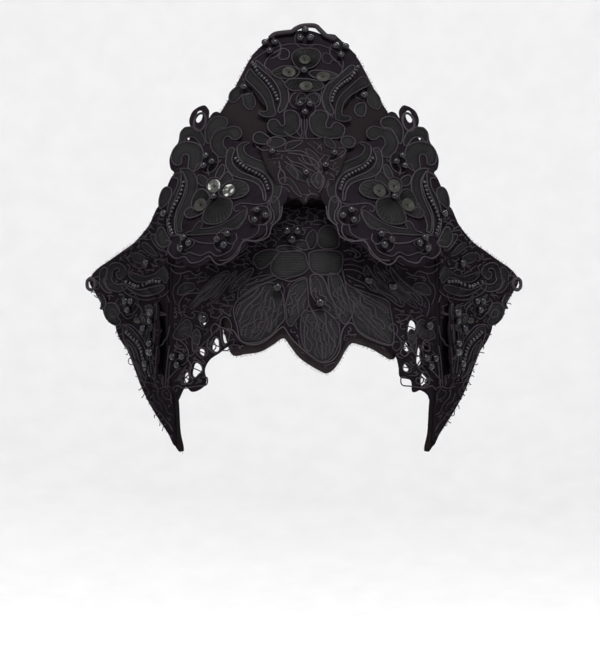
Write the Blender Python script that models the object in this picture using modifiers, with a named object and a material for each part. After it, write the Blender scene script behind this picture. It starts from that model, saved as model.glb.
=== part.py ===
"""A lace crown: stiff felt walls, beaded lace sewn over them, and a plain band that sits on the head.

Metres, +Z up. The wearer looks along -Y. The origin is the centre of the head opening, level with the two
temple points. Tables are in millimetres, and MM turns them into metres.
"""

import math

import bmesh
import bpy
import numpy as np
from mathutils import Matrix, Vector
from mathutils.geometry import delaunay_2d_cdt

MM = 0.001

# Driving sizes, in millimetres
FELT = 2.0
LACE = 1.2
SEWN_GAP = 1.6
BEAD_RADIUS = 2.3
BROW_BEAD_RADIUS = 2.9
BEAD_SIDES = 10
BEAD_RINGS = 4
TRIO_RADIUS = 3.4
PAD_THICKNESS = 0.8
BEAD_GAP = 0.9
CORD_RADIUS = 1.5
PETAL_THICKNESS = 0.8
BAND_WIDTH = 20.0
BAND_HALF_SPAN = 77.0
BAND_TOP = 112.0
BAND_FOOT = 50.0
BAND_FRONT = -40.0
BAND_ROUNDNESS = 2.6
BAND_SEGMENTS = 19

# How far the tall halo wall lies from the origin along Y, at each height, for each distance from the middle
HALO_COLUMNS = (0, 40, 65, 80, 85, 92, 105, 138)
HALO_DEPTHS = (
    # height, depth in each column
    (0, (-100, -84, -50, -2, 4, 9, 15, 26)),
    (31, (-100, -86, -62, -22, -8, 0, 8, 24)),
    (50, (-100, -88, -68, -44, -27, -10, 3, 24)),
    (90, (-99, -90, -73, -55, -44, -24, -7, 22)),
    (115, (-98, -91, -75, -59, -50, -34, -12, 22)),
    (140, (-91, -87, -75, -63, -58, -48, -28, 12)),
    (175, (-77, -73, -63, -54, -50, -44, -32, 0)),
    (215, (-61, -57, -49, -42, -39, -35, -26, 0)),
    (245, (-49, -44, -36, -29, -26, -22, -15, 8)),
    (262, (-34, -29, -20, -13, -10, -6, 2, 24)),
    (276, (-20, -15, -6, 1, 4, 8, 16, 38)),
)

# The same for the brow wall, which follows the forehead inside the halo
BROW_COLUMNS = (0, 40, 65, 75, 82)
BROW_DEPTHS = (
    (25, (-92, -84, -64, -50, -36)),
    (60, (-92, -84, -65, -52, -42)),
    (100, (-89, -82, -67, -57, -50)),
    (130, (-85, -80, -69, -62, -56)),
    (160, (-78, -74, -66, -60, -55)),
)

# Right half of the halo's felt outline, from the peak down the outer edge and up the temple: x, z
HALO_HALF = (
    (0, 254), (13.5, 253), (21.5, 251), (26.5, 249), (33, 241.5), (37, 234), (40.5, 227), (44.5, 219),
    (48.5, 212), (54, 203.5), (62, 194), (70.5, 184), (77, 175), (81, 165), (86, 153.5), (93.5, 142),
    (104, 131.5), (113, 126), (123, 120), (132.5, 114), (137, 107), (133, 99.5), (127, 90), (118.5, 77),
    (112, 64), (106.5, 50), (101.5, 37), (94.5, 24), (86, 11), (79, 0), (77, 1.5), (79, 12.5),
    (79.5, 31.5), (81, 48.5), (81.5, 70), (81, 94.5), (80.5, 116.5), (78.5, 131.5), (67, 142.5),
    (47.5, 147), (28.5, 146), (15, 149.5), (6.5, 158.5),
)

# Brow felt outline, clockwise from its upper left corner: x, z
BROW_FELT = (
    (-71, 147), (-47.5, 157), (-24, 161), (0, 163), (24, 161), (47.5, 157), (71, 147), (76, 130),
    (78, 114.5), (77, 105), (69, 100), (60, 89.5), (56.5, 76), (54.5, 59), (47.5, 61), (41.5, 64.5),
    (34, 67), (28.5, 68), (24.5, 63.5), (21, 57), (17, 52), (13, 50), (9.5, 51.5), (4, 54.5),
    (-3, 59.5), (-8.5, 66.5), (-12.5, 71), (-19, 67), (-26.5, 63), (-36, 61.5), (-43.5, 61.5), (-48.5, 76),
    (-54.5, 89.5), (-65, 100), (-76, 105), (-78, 114.5), (-76, 130),
)

# Brow lace outline, clockwise from its upper left corner: x, z. Its petals stop short of the felt's hem
BROW_LACE = (
    (-67, 139), (-43, 145.5), (-19, 148), (0, 149), (19, 148), (43, 145.5), (67, 139), (75, 128),
    (77.5, 110.5), (78.5, 89.5), (78.5, 66.5), (77.5, 47), (76, 31.5), (73.5, 36.5), (68.5, 39.5), (64, 38.5),
    (63, 45.5), (56.5, 47.5), (55.5, 54), (53.5, 60.5), (47.5, 63.5), (41.5, 67), (34, 69.5), (29, 70.5),
    (25.5, 68), (21.5, 61), (17.5, 54.5), (13, 52.5), (9.5, 54), (4, 57), (-2, 62), (-7, 68.5),
    (-12.5, 74), (-19, 69.5), (-26.5, 65.5), (-36, 63.5), (-42.5, 64), (-49.5, 60), (-55.5, 58), (-58.5, 52),
    (-57.5, 45.5), (-59.5, 41.5), (-65.5, 38.5), (-70.5, 41.5), (-76, 32.5), (-77.5, 47), (-78.5, 66.5),
    (-78.5, 89.5), (-77.5, 110.5), (-75, 128),
)

# Open places in the brow lace where the head shows through: centre x, centre z, half width, half height
BROW_GAPS = (
    (-45.5, 76, 3.0, 6.5), (-51.5, 66.5, 2.5, 3.5), (-63, 52, 3.0, 4.0), (-60, 62.5, 2.0, 2.5),
    (-69.5, 47, 2.0, 3.5), (-58.5, 82.5, 2.0, 3.0), (63, 77, 2.5, 5.0), (67.5, 59.5, 2.0, 5.0),
    (70.5, 46, 2.0, 4.5), (59.5, 53, 1.8, 2.2), (60, 65.5, 1.8, 2.5), (71.5, 66.5, 1.5, 3.0),
)

# Sprig of leaves between the two shoulder flaps: right half, x and z from the top down
SPRIG_HALF = (
    (0, 187.5), (5.5, 189.5), (12.5, 185.5), (19, 188), (24, 184), (22, 179), (17, 174), (16, 169),
    (12.5, 166), (12.5, 159.5), (8.5, 157.5), (8.5, 151.5), (4, 152.5), (0, 147),
)
SPRIG_RISE = 3.9
SPRIG_LEAN = 4.0

# The lace motif, used five times. u runs across it and v from its tip loop to its scalloped base, from the
# centre of its flower. Right half of its outline, from the loop down to where the scallops start: u, v
MOTIF_HALF = (
    (0, -57.5), (4.5, -56.5), (7, -52.5), (6.5, -48), (10, -50), (14, -48.5), (16, -43.5), (20, -41.5),
    (24, -37), (24.5, -31), (22.5, -27.5), (26, -25.5), (31, -21), (35, -15), (37.5, -8), (38.5, 0),
)
SCALLOPS = 5
SCALLOP_POINTS = 4
SCALLOP_DEPTH = 3.0
BASE_CENTRE_V = 9.0
BASE_HALF_WIDTH = 38.0
BASE_REACH = 27.5

# Pierced places in the motif: centre u, centre v, half width, half height
MOTIF_EYELETS = (
    (0, -52, 2.7, 3.6),
    (8.5, -43.5, 1.2, 2.0),
    (-8.5, -43.5, 1.2, 2.0),
)
EYELET_SIDES = 7

# Where each kind of motif goes, seen on the right side. centre: x and z of its flower. tilt: how far its base
# turns towards the middle. narrow and squeeze: its width, and the reach of its base, as the wall takes them up.
# bend: how far its tip leans towards the middle. lift: how far its base stands free, from v = lift_start on.
MOTIFS = {
    "peak": {"centre": (0, 234.5), "tilt": 180, "narrow": 0.86, "squeeze": 0.6, "bend": 0,
             "lift": 0, "lift_start": 0},
    "shoulder": {"centre": (51.5, 153.5), "tilt": 24, "narrow": 1.0, "squeeze": 1.0, "bend": 9,
                 "lift": 12, "lift_start": -12},
    "wing": {"centre": (95.5, 78.5), "tilt": 61, "narrow": 0.6, "squeeze": 1.0, "bend": 0,
             "lift": 4, "lift_start": 0},
}
BEND_REACH = 50.0
BASE_END_V = BASE_CENTRE_V + BASE_REACH + SCALLOP_DEPTH

# Bead trios on each kind of motif, by u and v
TRIOS = {
    "peak": {"tip": (-0.5, -26), "base": (-0.8, 29.2), "left": (23.6, 19.4), "right": (-25.3, 15.5)},
    "shoulder": {"tip": (-2.6, -22.4), "base": (0.9, 28.4), "inner": (-19.6, 24.4), "outer": (23.2, 17.7)},
    "wing": {"tip": (-8.5, -20.5), "base": (0, 27), "inner": (-28, 15)},
}

# The single bead near the edge of each shoulder and wing motif: its name, and its place by u and v
EDGE_BEADS = {"shoulder": ("bead_edge", (35, -7)), "wing": ("bead_crease", (27, 16))}

# Single beads on the halo and its sprig: x, z
HALO_BEADS = {
    "bead_peak_left": (-35.8, 222.6), "bead_peak_right": (35.7, 217.3),
    "bead_side_left": (-94.5, 118.5), "bead_side_right": (95, 118.3),
}
SPRIG_BEADS = {
    "bead_sprig_upper": (12.5, 170.5), "bead_sprig_lower": (1.2, 165.5),
    "bead_sprig_left": (-18.5, 179.5), "bead_sprig_right": (17.5, 178.5),
}

# Single beads on the brow lace: x, z
BROW_BEADS = {
    "bead_brow_left": (-15.2, 100.7), "bead_brow_middle": (9.2, 91.6), "bead_brow_right": (36, 105.2),
    "bead_brow_far_right": (49.7, 101.9), "bead_temple_left": (-56.6, 82.8), "bead_temple_right": (70.4, 78.9),
}
BROW_TRIOS = {"trio_brow": (-7, 132), "trio_temple_left": (-72, 58.4), "trio_temple_right": (72, 57.5)}

# The cord that waves over the peak, from left to right: x, z
PEAK_CORD = (
    (-20.2, 251), (-17.6, 253.4), (-12.3, 254.4), (-7.4, 255), (-5.2, 256.8), (-1.8, 258.6),
    (2.6, 259.2), (7.1, 258.7), (9.8, 255.9), (13.1, 252.4), (16.4, 250.9), (19, 250),
)
PEAK_CORD_RISE = 5.4

# Flower on each motif: four petals that share one plate
PETALS = (
    # centre u, centre v, half width, half height
    (0, 9.0, 9.5, 9.5),
    (0, -7.0, 5.0, 7.5),
    (9.0, -2.5, 8.5, 5.0),
    (-9.0, -2.5, 8.5, 5.0),
)
PETAL_RAYS = 24
SEQUINS = ((0, -9.0), (11.5, -2.5), (-11.5, -2.5))
SEQUIN_RADIUS = 3.4
SEQUIN_THICKNESS = 0.7
SEQUIN_SIDES = 8

# Sheet meshes: spacing of the points inside each outline
FELT_SPACING = 11.0
LACE_SPACING = 12.0
SMALL_SPACING = 8.0
NORMAL_STEP = 0.5
WALK_STEPS = 24

COLOURS = {
    "felt": ((0.020, 0.015, 0.014, 1.0), 0.95),
    "lace": ((0.016, 0.015, 0.017, 1.0), 0.75),
    "cord": ((0.024, 0.021, 0.021, 1.0), 0.8),
    "petal": ((0.022, 0.022, 0.020, 1.0), 0.55),
    "bead": ((0.004, 0.004, 0.005, 1.0), 0.12),
}


def hermite_weights(knots, at):
    """The span of knots that holds a place, and the weights of its end values and end slopes there."""
    at = min(max(at, knots[0]), knots[-1])
    i = int(min(max(np.searchsorted(knots, at) - 1, 0), len(knots) - 2))
    span = knots[i + 1] - knots[i]
    t = (at - knots[i]) / span
    weights = np.array((
        (1 + 2 * t) * (1 - t) ** 2, t * t * (3 - 2 * t), t * (1 - t) ** 2 * span, -t * t * (1 - t) * span,
    ))
    return i, weights


class Wall:
    """A wall whose depth is known by distance from the middle and by height, with smooth curves between."""

    def __init__(self, columns, rows):
        self.knots = np.array([-c for c in columns[:0:-1]] + list(columns), float)
        self.heights = np.array([row[0] for row in rows], float)
        self.table = np.array([list(row[1][:0:-1]) + list(row[1]) for row in rows], float)
        self.across = np.gradient(self.table, self.knots, axis=1)

    def depth(self, x, z):
        i, weights = hermite_weights(self.knots, x)
        column = np.column_stack((self.table[:, i:i + 2], self.across[:, i:i + 2])) @ weights
        j, weights = hermite_weights(self.heights, z)
        up = np.gradient(column, self.heights)
        return float(np.concatenate((column[j:j + 2], up[j:j + 2])) @ weights)

    def slopes(self, x, z):
        h = NORMAL_STEP
        across = (self.depth(x + h, z) - self.depth(x - h, z)) / (2 * h)
        up = (self.depth(x, z + h) - self.depth(x, z - h)) / (2 * h)
        return across, up

    def point(self, x, z, rise=0.0):
        """The wall's outer face at x and z, or a point that far in front of it, and the way it faces."""
        across, up = self.slopes(x, z)
        normal = Vector((across, -1.0, up)).normalized()
        return Vector((x, self.depth(x, z), z)) + normal * rise, normal

    def walk(self, x, z, distance):
        """The x reached from x by going that far along the wall at height z."""
        step = distance / WALK_STEPS
        for _ in range(WALK_STEPS):
            across = (self.depth(x + NORMAL_STEP, z) - self.depth(x - NORMAL_STEP, z)) / (2 * NORMAL_STEP)
            x += step / math.hypot(1.0, across)
        return x


HALO = Wall(HALO_COLUMNS, HALO_DEPTHS)
BROW = Wall(BROW_COLUMNS, BROW_DEPTHS)


def smooth_step(t):
    t = min(max(t, 0.0), 1.0)
    return t * t * (3 - 2 * t)


def material(kind):
    """The material of that kind, made on first use."""
    found = bpy.data.materials.get(kind)
    if found:
        return found
    colour, roughness = COLOURS[kind]
    made = bpy.data.materials.new(kind)
    made.use_nodes = True
    shader = made.node_tree.nodes["Principled BSDF"]
    shader.inputs["Base Color"].default_value = colour
    shader.inputs["Roughness"].default_value = roughness
    shader.inputs["Metallic"].default_value = 0.0
    return made


def add_object(name, mesh, kind, collection):
    """An object for a mesh, in the crown's collection, with its material."""
    if not mesh.materials:
        mesh.materials.append(material(kind))
    made = bpy.data.objects.new(name, mesh)
    collection.objects.link(made)
    return made


def ellipse(centre_u, centre_v, half_u, half_v, sides):
    turns = [2 * math.pi * i / sides for i in range(sides)]
    return [(centre_u + half_u * math.cos(a), centre_v + half_v * math.sin(a)) for a in turns]


def mirrored(half):
    """A closed outline from its right half, whose first and last points may lie on the middle line."""
    left = [(-x, z) for x, z in reversed(half) if x > 0]
    return list(half) + left


def inside(point, ring):
    """Whether a flat point lies in a closed ring."""
    x, y = point
    crossed = False
    for (x0, y0), (x1, y1) in zip(ring, ring[1:] + ring[:1]):
        if (y0 > y) != (y1 > y) and x < (x1 - x0) * (y - y0) / (y1 - y0) + x0:
            crossed = not crossed
    return crossed


def distance_to_ring(point, ring):
    nearest = 1e9
    p = Vector(point)
    for a, b in zip(ring, ring[1:] + ring[:1]):
        a, b = Vector(a), Vector(b)
        along = min(max((p - a).dot(b - a) / max((b - a).length_squared, 1e-9), 0.0), 1.0)
        nearest = min(nearest, (p - a - (b - a) * along).length)
    return nearest


def flat_sheet(outline, holes, spacing):
    """Points and triangles that fill an outline around its holes, with points spaced over the inside."""
    rings = [list(outline)] + [list(hole) for hole in holes]
    points = [p for ring in rings for p in ring]
    edges = []
    start = 0
    for ring in rings:
        edges += [(start + i, start + (i + 1) % len(ring)) for i in range(len(ring))]
        start += len(ring)
    low = np.min(rings[0], axis=0)
    high = np.max(rings[0], axis=0)
    row_height = spacing * math.sqrt(3) / 2
    for row in range(int((high[1] - low[1]) / row_height) + 1):
        shift = spacing / 2 * (row % 2)
        for column in range(int((high[0] - low[0]) / spacing) + 1):
            p = (low[0] + shift + column * spacing, low[1] + row * row_height)
            if inside(p, rings[0]) and min(distance_to_ring(p, ring) for ring in rings) > spacing * 0.45:
                if not any(inside(p, ring) for ring in rings[1:]):
                    points.append(p)
    coords, _, faces, *_ = delaunay_2d_cdt([Vector(p) for p in points], edges, [], 0, 1e-5)
    kept = []
    for face in faces:
        middle = sum((coords[i] for i in face), Vector((0.0, 0.0))) / 3
        if inside(middle, rings[0]) and not any(inside(middle, ring) for ring in rings[1:]):
            kept.append(tuple(face))
    return [tuple(c) for c in coords], kept


def sheet(name, outline, holes, spacing, place, thickness, kind, collection):
    """A sheet of cloth: a flat outline laid on a wall by place, then thickened towards the head."""
    flat, faces = flat_sheet(outline, holes, spacing)
    placed = [place(*p)[0] * MM for p in flat]
    mesh = bpy.data.meshes.new(name)
    mesh.from_pydata(placed, [], faces)
    face_outwards(mesh)
    mesh.shade_smooth()
    made = add_object(name, mesh, kind, collection)
    wall = made.modifiers.new("Thickness", "SOLIDIFY")
    wall.thickness = thickness * MM
    wall.offset = -1.0
    return made


def face_outwards(mesh):
    """Turns the sheet's faces towards -Y, or away from the middle where the wall runs along Y."""
    facing = sum(p.normal.y * p.area for p in mesh.polygons)
    if facing > 0:
        mesh.flip_normals()


def motif_outline():
    """The motif's closed outline: mirrored tip, then scallops worked out along the base."""
    base = []
    count = SCALLOPS * SCALLOP_POINTS
    for i in range(count + 1):
        along = SCALLOPS * i / count
        bulge = SCALLOP_DEPTH * math.sin(math.pi * (along % 1.0))
        angle = math.pi * i / count
        base.append((
            (BASE_HALF_WIDTH + bulge) * math.cos(angle),
            BASE_CENTRE_V + (BASE_REACH + bulge) * math.sin(angle),
        ))
    left = [(-u, v) for u, v in reversed(MOTIF_HALF) if u > 0]
    return list(MOTIF_HALF) + base + left


def motif_place(kind, side, rise):
    """The function that lays a motif's u and v on the halo, on one side (1 right, -1 left)."""
    spec = MOTIFS[kind]
    centre_x, centre_z = spec["centre"]
    turn = math.radians(spec["tilt"])

    def place(u, v, extra=0.0):
        lifted = spec["lift"] * smooth_step((v - spec["lift_start"]) / (BASE_END_V - spec["lift_start"]))
        u *= spec["narrow"]
        if v < 0:
            u -= spec["bend"] * (v / BEND_REACH) ** 2
        reach = v if v < 0 else v * spec["squeeze"]
        along = u * math.cos(turn) - reach * math.sin(turn)
        z = centre_z - u * math.sin(turn) - reach * math.cos(turn)
        x = HALO.walk(centre_x, z, along)
        point, normal = HALO.point(x, z, rise + lifted + extra)
        if side < 0:
            point.x = -point.x
            normal.x = -normal.x
        return point, normal

    return place


def motif_places():
    """Each motif's name, and the function that lays it down at the lace's outer face."""
    front = SEWN_GAP + LACE
    places = {"peak": motif_place("peak", 1, front)}
    for kind in ("shoulder", "wing"):
        for word, side in (("left", -1), ("right", 1)):
            places[f"{kind}_{word}"] = motif_place(kind, side, front)
    return places


def sprig_place(x, z, extra=0.0):
    """The sprig lies over the tip of the peak lace, and its lower end leans forward."""
    top, bottom = SPRIG_HALF[0][1], SPRIG_HALF[-1][1]
    lean = SPRIG_LEAN * smooth_step((top - z) / (top - bottom))
    return HALO.point(x, z, SPRIG_RISE + LACE + lean + extra)


def brow_lace_place(x, z, extra=0.0):
    return BROW.point(x, z, SEWN_GAP + LACE + extra)


def merged_mesh(name, parts):
    """One closed mesh from overlapping closed meshes, joined by Boolean unions."""
    objects = []
    for mesh in parts:
        part = bpy.data.objects.new(name, mesh)
        bpy.context.scene.collection.objects.link(part)
        objects.append(part)
    for other in objects[1:]:
        union = objects[0].modifiers.new("Union", "BOOLEAN")
        union.operation = "UNION"
        union.object = other
    evaluated = objects[0].evaluated_get(bpy.context.evaluated_depsgraph_get())
    result = bpy.data.meshes.new_from_object(evaluated)
    result.name = name
    for part in objects:
        bpy.data.objects.remove(part)
    return result


def sphere_mesh(name, radius, centre=(0.0, 0.0, 0.0)):
    mesh = bpy.data.meshes.new(name)
    shape = bmesh.new()
    bmesh.ops.create_uvsphere(
        shape, u_segments=BEAD_SIDES, v_segments=BEAD_RINGS, radius=radius * MM,
        matrix=Matrix.Translation(Vector(centre) * MM),
    )
    shape.to_mesh(mesh)
    shape.free()
    mesh.shade_smooth()
    return mesh


def trio_mesh(place, spot, spec, point=-1):
    """Three beads close together on one small pad, with the single bead on the side that point gives along v."""
    wide = 1 / spec["narrow"]
    long = point / spec["squeeze"] if spot[1] > 0 else point
    corners = [
        (spot[0] + u * wide, spot[1] + v * long) for v, u in ellipse(0, 0, TRIO_RADIUS, TRIO_RADIUS, 3)
    ]
    pad = bpy.data.meshes.new("pad")
    low = [place(*corner, BEAD_GAP)[0] * MM for corner in corners]
    high = [place(*corner, BEAD_GAP + PAD_THICKNESS)[0] * MM for corner in corners]
    shape = bmesh.new()
    bmesh.ops.convex_hull(shape, input=[shape.verts.new(p) for p in low + high])
    bmesh.ops.recalc_face_normals(shape, faces=shape.faces)
    shape.to_mesh(pad)
    shape.free()
    beads = [
        sphere_mesh("bead", BEAD_RADIUS, place(*corner, BEAD_GAP + BEAD_RADIUS)[0]) for corner in corners
    ]
    return merged_mesh("bead_trio", [pad] + beads)


def add_bead(name, radius, place, spot, collection):
    """A bead that stands just clear of the cloth it is sewn to."""
    centre = place(*spot, radius + BEAD_GAP)[0]
    return add_object(name, sphere_mesh("bead", radius, centre), "bead", collection)


def add_beads(places, collection):
    for motif, place in places.items():
        kind = motif.split("_")[0]
        for spot, where in TRIOS[kind].items():
            point = 1 if spot == "base" else -1
            add_object(f"trio_{motif}_{spot}", trio_mesh(place, where, MOTIFS[kind], point), "bead", collection)
    for name, where in BROW_TRIOS.items():
        mesh = trio_mesh(brow_lace_place, where, {"narrow": 1.0, "squeeze": 1.0})
        add_object(name, mesh, "bead", collection)
    for word in ("left", "right"):
        for kind, (name, where) in EDGE_BEADS.items():
            add_bead(f"{name}_{word}", BEAD_RADIUS, places[f"{kind}_{word}"], where, collection)
    for name, where in HALO_BEADS.items():
        add_bead(name, BEAD_RADIUS, HALO.point, where, collection)
    for name, where in SPRIG_BEADS.items():
        add_bead(name, BEAD_RADIUS, sprig_place, where, collection)
    for name, where in BROW_BEADS.items():
        add_bead(name, BROW_BEAD_RADIUS, brow_lace_place, where, collection)


def disc_mesh(centre, radius, thickness, sides, base):
    """A flat closed disc whose lower face is at base."""
    mesh = bpy.data.meshes.new("disc")
    shape = bmesh.new()
    middle = Vector((centre[0], centre[1], base + thickness / 2)) * MM
    bmesh.ops.create_cone(
        shape, cap_ends=True, cap_tris=True, segments=sides, radius1=radius * MM, radius2=radius * MM,
        depth=thickness * MM, matrix=Matrix.Translation(middle),
    )
    shape.to_mesh(mesh)
    shape.free()
    return mesh


def petal_outline():
    """The outline round all the petals: how far the farthest petal reaches along each ray."""
    outline = []
    for i in range(PETAL_RAYS):
        angle = -2 * math.pi * i / PETAL_RAYS
        ray_u, ray_v = math.cos(angle), math.sin(angle)
        reach = 3.0
        for u, v, half_u, half_v in PETALS:
            a = (ray_u / half_u) ** 2 + (ray_v / half_v) ** 2
            b = ray_u * u / half_u ** 2 + ray_v * v / half_v ** 2
            c = (u / half_u) ** 2 + (v / half_v) ** 2 - 1
            if b * b > a * c:
                reach = max(reach, (b + math.sqrt(b * b - a * c)) / a)
        outline.append((reach * ray_u, reach * ray_v))
    return outline


def bent(mesh, place):
    """The mesh with its flat u and v laid on the lace, facing outwards again."""
    for vertex in mesh.vertices:
        u, v, height = vertex.co / MM
        vertex.co = place(u, v, height)[0] * MM
    shape = bmesh.new()
    shape.from_mesh(mesh)
    bmesh.ops.recalc_face_normals(shape, faces=shape.faces)
    shape.to_mesh(mesh)
    shape.free()
    return mesh


def raised(place, height):
    """The same place function, that much further from the wall."""
    return lambda u, v, extra=0.0: place(u, v, height + extra)


def add_flowers(places, collection):
    """On each motif four petals in one plate, a sequin on each small petal and a bead at the centre."""
    outline = petal_outline()
    for motif, place in places.items():
        lifted = raised(place, BEAD_GAP + PETAL_THICKNESS)
        plate = sheet("petals", outline, [], SMALL_SPACING, lifted, PETAL_THICKNESS, "petal", collection)
        evaluated = plate.evaluated_get(bpy.context.evaluated_depsgraph_get())
        parts = [bpy.data.meshes.new_from_object(evaluated)]
        bpy.data.objects.remove(plate)
        for spot in SEQUINS:
            lift = BEAD_GAP + PETAL_THICKNESS / 2
            parts.append(bent(disc_mesh(spot, SEQUIN_RADIUS, SEQUIN_THICKNESS, SEQUIN_SIDES, lift), place))
        centre = place(0, 0, BEAD_GAP + PETAL_THICKNESS + BEAD_RADIUS * 0.6)[0]
        parts.append(sphere_mesh("centre", BEAD_RADIUS, centre))
        add_object(f"flower_{motif}", merged_mesh("flower", parts), "petal", collection)


def add_head_band(collection):
    """The plain band that goes over the head between the temple points."""
    mesh = bpy.data.meshes.new("head_band")
    shape = bmesh.new()
    rows = []
    for i in range(BAND_SEGMENTS + 1):
        angle = math.pi * i / BAND_SEGMENTS
        power = 2 / BAND_ROUNDNESS
        x = BAND_HALF_SPAN * math.copysign(abs(math.cos(angle)) ** power, math.cos(angle))
        z = BAND_FOOT + (BAND_TOP - BAND_FOOT) * math.sin(angle) ** power
        ends = (BAND_FRONT, BAND_FRONT + BAND_WIDTH)
        rows.append([shape.verts.new(Vector((x, y, z)) * MM) for y in ends])
    for first, second in zip(rows, rows[1:]):
        shape.faces.new((first[0], first[1], second[1], second[0]))
    shape.to_mesh(mesh)
    shape.free()
    mesh.shade_smooth()
    made = add_object("head_band", mesh, "felt", collection)
    wall = made.modifiers.new("Thickness", "SOLIDIFY")
    wall.thickness = FELT * MM
    wall.offset = -1.0
    return made


def add_peak_cord(collection):
    """The stiff cord that waves over the peak, clear of the felt's top edge."""
    curve = bpy.data.curves.new("peak_cord", "CURVE")
    curve.dimensions = "3D"
    curve.bevel_depth = CORD_RADIUS * MM
    curve.bevel_resolution = 2
    curve.use_fill_caps = True
    curve.materials.append(material("cord"))
    spline = curve.splines.new("POLY")
    spline.points.add(len(PEAK_CORD) - 1)
    for target, spot in zip(spline.points, PEAK_CORD):
        target.co = (*HALO.point(*spot, PEAK_CORD_RISE)[0] * MM, 1.0)
    made = bpy.data.objects.new("peak_cord", curve)
    collection.objects.link(made)
    return made


def build():
    for old in list(bpy.data.objects):
        bpy.data.objects.remove(old, do_unlink=True)
    crown = bpy.data.collections.new("lace_crown")
    bpy.context.scene.collection.children.link(crown)

    sheet("halo_felt", mirrored(HALO_HALF), [], FELT_SPACING, HALO.point, FELT, "felt", crown)
    sheet("brow_felt", BROW_FELT, [], FELT_SPACING, BROW.point, FELT, "felt", crown)
    gaps = [ellipse(*gap, EYELET_SIDES) for gap in BROW_GAPS]
    sheet("brow_lace", BROW_LACE, gaps, LACE_SPACING, brow_lace_place, LACE, "lace", crown)
    sheet("sprig_lace", mirrored(SPRIG_HALF), [], SMALL_SPACING, sprig_place, LACE, "lace", crown)

    places = motif_places()
    eyelets = [ellipse(*eyelet, EYELET_SIDES) for eyelet in MOTIF_EYELETS]
    for motif, place in places.items():
        sheet(f"{motif}_lace", motif_outline(), eyelets, LACE_SPACING, place, LACE, "lace", crown)
    add_flowers(places, crown)
    add_beads(places, crown)
    add_head_band(crown)
    add_peak_cord(crown)


build()
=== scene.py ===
"""The looks of the lace crown: corded lace, satin, seed beads and sequins over stiff felt.

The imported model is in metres. Drawing is done in millimetres and MM turns it into metres. A wall of the crown
is drawn on by x and z; a motif by u, across it, and v, from its tip loop to its scalloped base.
"""

import math
import random

import bpy
import numpy as np
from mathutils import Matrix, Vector
from mathutils.geometry import delaunay_2d_cdt


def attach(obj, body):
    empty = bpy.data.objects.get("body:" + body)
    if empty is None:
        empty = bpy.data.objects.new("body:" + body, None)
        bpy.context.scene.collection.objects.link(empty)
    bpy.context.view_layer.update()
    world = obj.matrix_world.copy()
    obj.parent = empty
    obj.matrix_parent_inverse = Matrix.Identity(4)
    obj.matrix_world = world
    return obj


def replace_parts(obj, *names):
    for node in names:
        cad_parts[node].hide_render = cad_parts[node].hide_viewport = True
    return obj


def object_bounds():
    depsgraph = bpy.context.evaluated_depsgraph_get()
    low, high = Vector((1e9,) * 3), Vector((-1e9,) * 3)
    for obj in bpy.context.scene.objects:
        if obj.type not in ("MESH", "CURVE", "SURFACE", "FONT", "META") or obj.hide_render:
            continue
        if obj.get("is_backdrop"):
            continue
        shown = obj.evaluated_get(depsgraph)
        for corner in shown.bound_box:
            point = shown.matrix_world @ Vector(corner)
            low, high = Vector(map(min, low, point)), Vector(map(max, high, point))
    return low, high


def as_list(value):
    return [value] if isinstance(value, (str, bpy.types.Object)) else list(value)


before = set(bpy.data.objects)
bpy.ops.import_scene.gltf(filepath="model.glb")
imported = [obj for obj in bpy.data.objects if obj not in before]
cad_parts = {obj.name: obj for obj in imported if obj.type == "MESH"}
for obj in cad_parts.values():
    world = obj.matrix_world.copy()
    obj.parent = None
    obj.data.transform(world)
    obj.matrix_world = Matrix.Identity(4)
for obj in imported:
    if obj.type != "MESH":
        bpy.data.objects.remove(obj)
cad_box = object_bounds()

MM = 0.001
BODY = "root"


def read_points(text):
    """Points from text, as pairs of numbers."""
    return [tuple(float(n) for n in pair.split(",")) for pair in text.split()]


def read_art(text):
    """A drawing from text: each word starts an entry of its kind, and the pairs after it are its points."""
    entries = []
    for word in text.split():
        if word.isalpha():
            entries.append((word, []))
        else:
            entries[-1][1].extend(read_points(word))
    return entries


# The photograph's view: its scale where Y is 0, the camera's distance, and the place its centre looks at
MM_PER_PIXEL = 0.63
PHOTO_HEIGHT = 663
CAMERA_DISTANCE = 1600.0
VIEW_CENTRE_X = -2.5
VIEW_CENTRE_Z = 75.0
SENSOR = 36.0

# The same driving sizes as the solids have
FELT = 2.0
LACE = 1.2
SEWN_GAP = 1.6
BEAD_RADIUS = 2.3
BEAD_GAP = 0.9
TRIO_RADIUS = 3.4
BROW_BEAD_RADIUS = 2.9

# How far the tall halo wall lies from the origin along Y, at each height, for each distance from the middle
HALO_COLUMNS = (0, 40, 65, 80, 85, 92, 105, 138)
HALO_DEPTHS = (
    # height, depth in each column
    (0, (-100, -84, -50, -2, 4, 9, 15, 26)),
    (31, (-100, -86, -62, -22, -8, 0, 8, 24)),
    (50, (-100, -88, -68, -44, -27, -10, 3, 24)),
    (90, (-99, -90, -73, -55, -44, -24, -7, 22)),
    (115, (-98, -91, -75, -59, -50, -34, -12, 22)),
    (140, (-91, -87, -75, -63, -58, -48, -28, 12)),
    (175, (-77, -73, -63, -54, -50, -44, -32, 0)),
    (215, (-61, -57, -49, -42, -39, -35, -26, 0)),
    (245, (-49, -44, -36, -29, -26, -22, -15, 8)),
    (262, (-34, -29, -20, -13, -10, -6, 2, 24)),
    (276, (-20, -15, -6, 1, 4, 8, 16, 38)),
)

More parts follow.
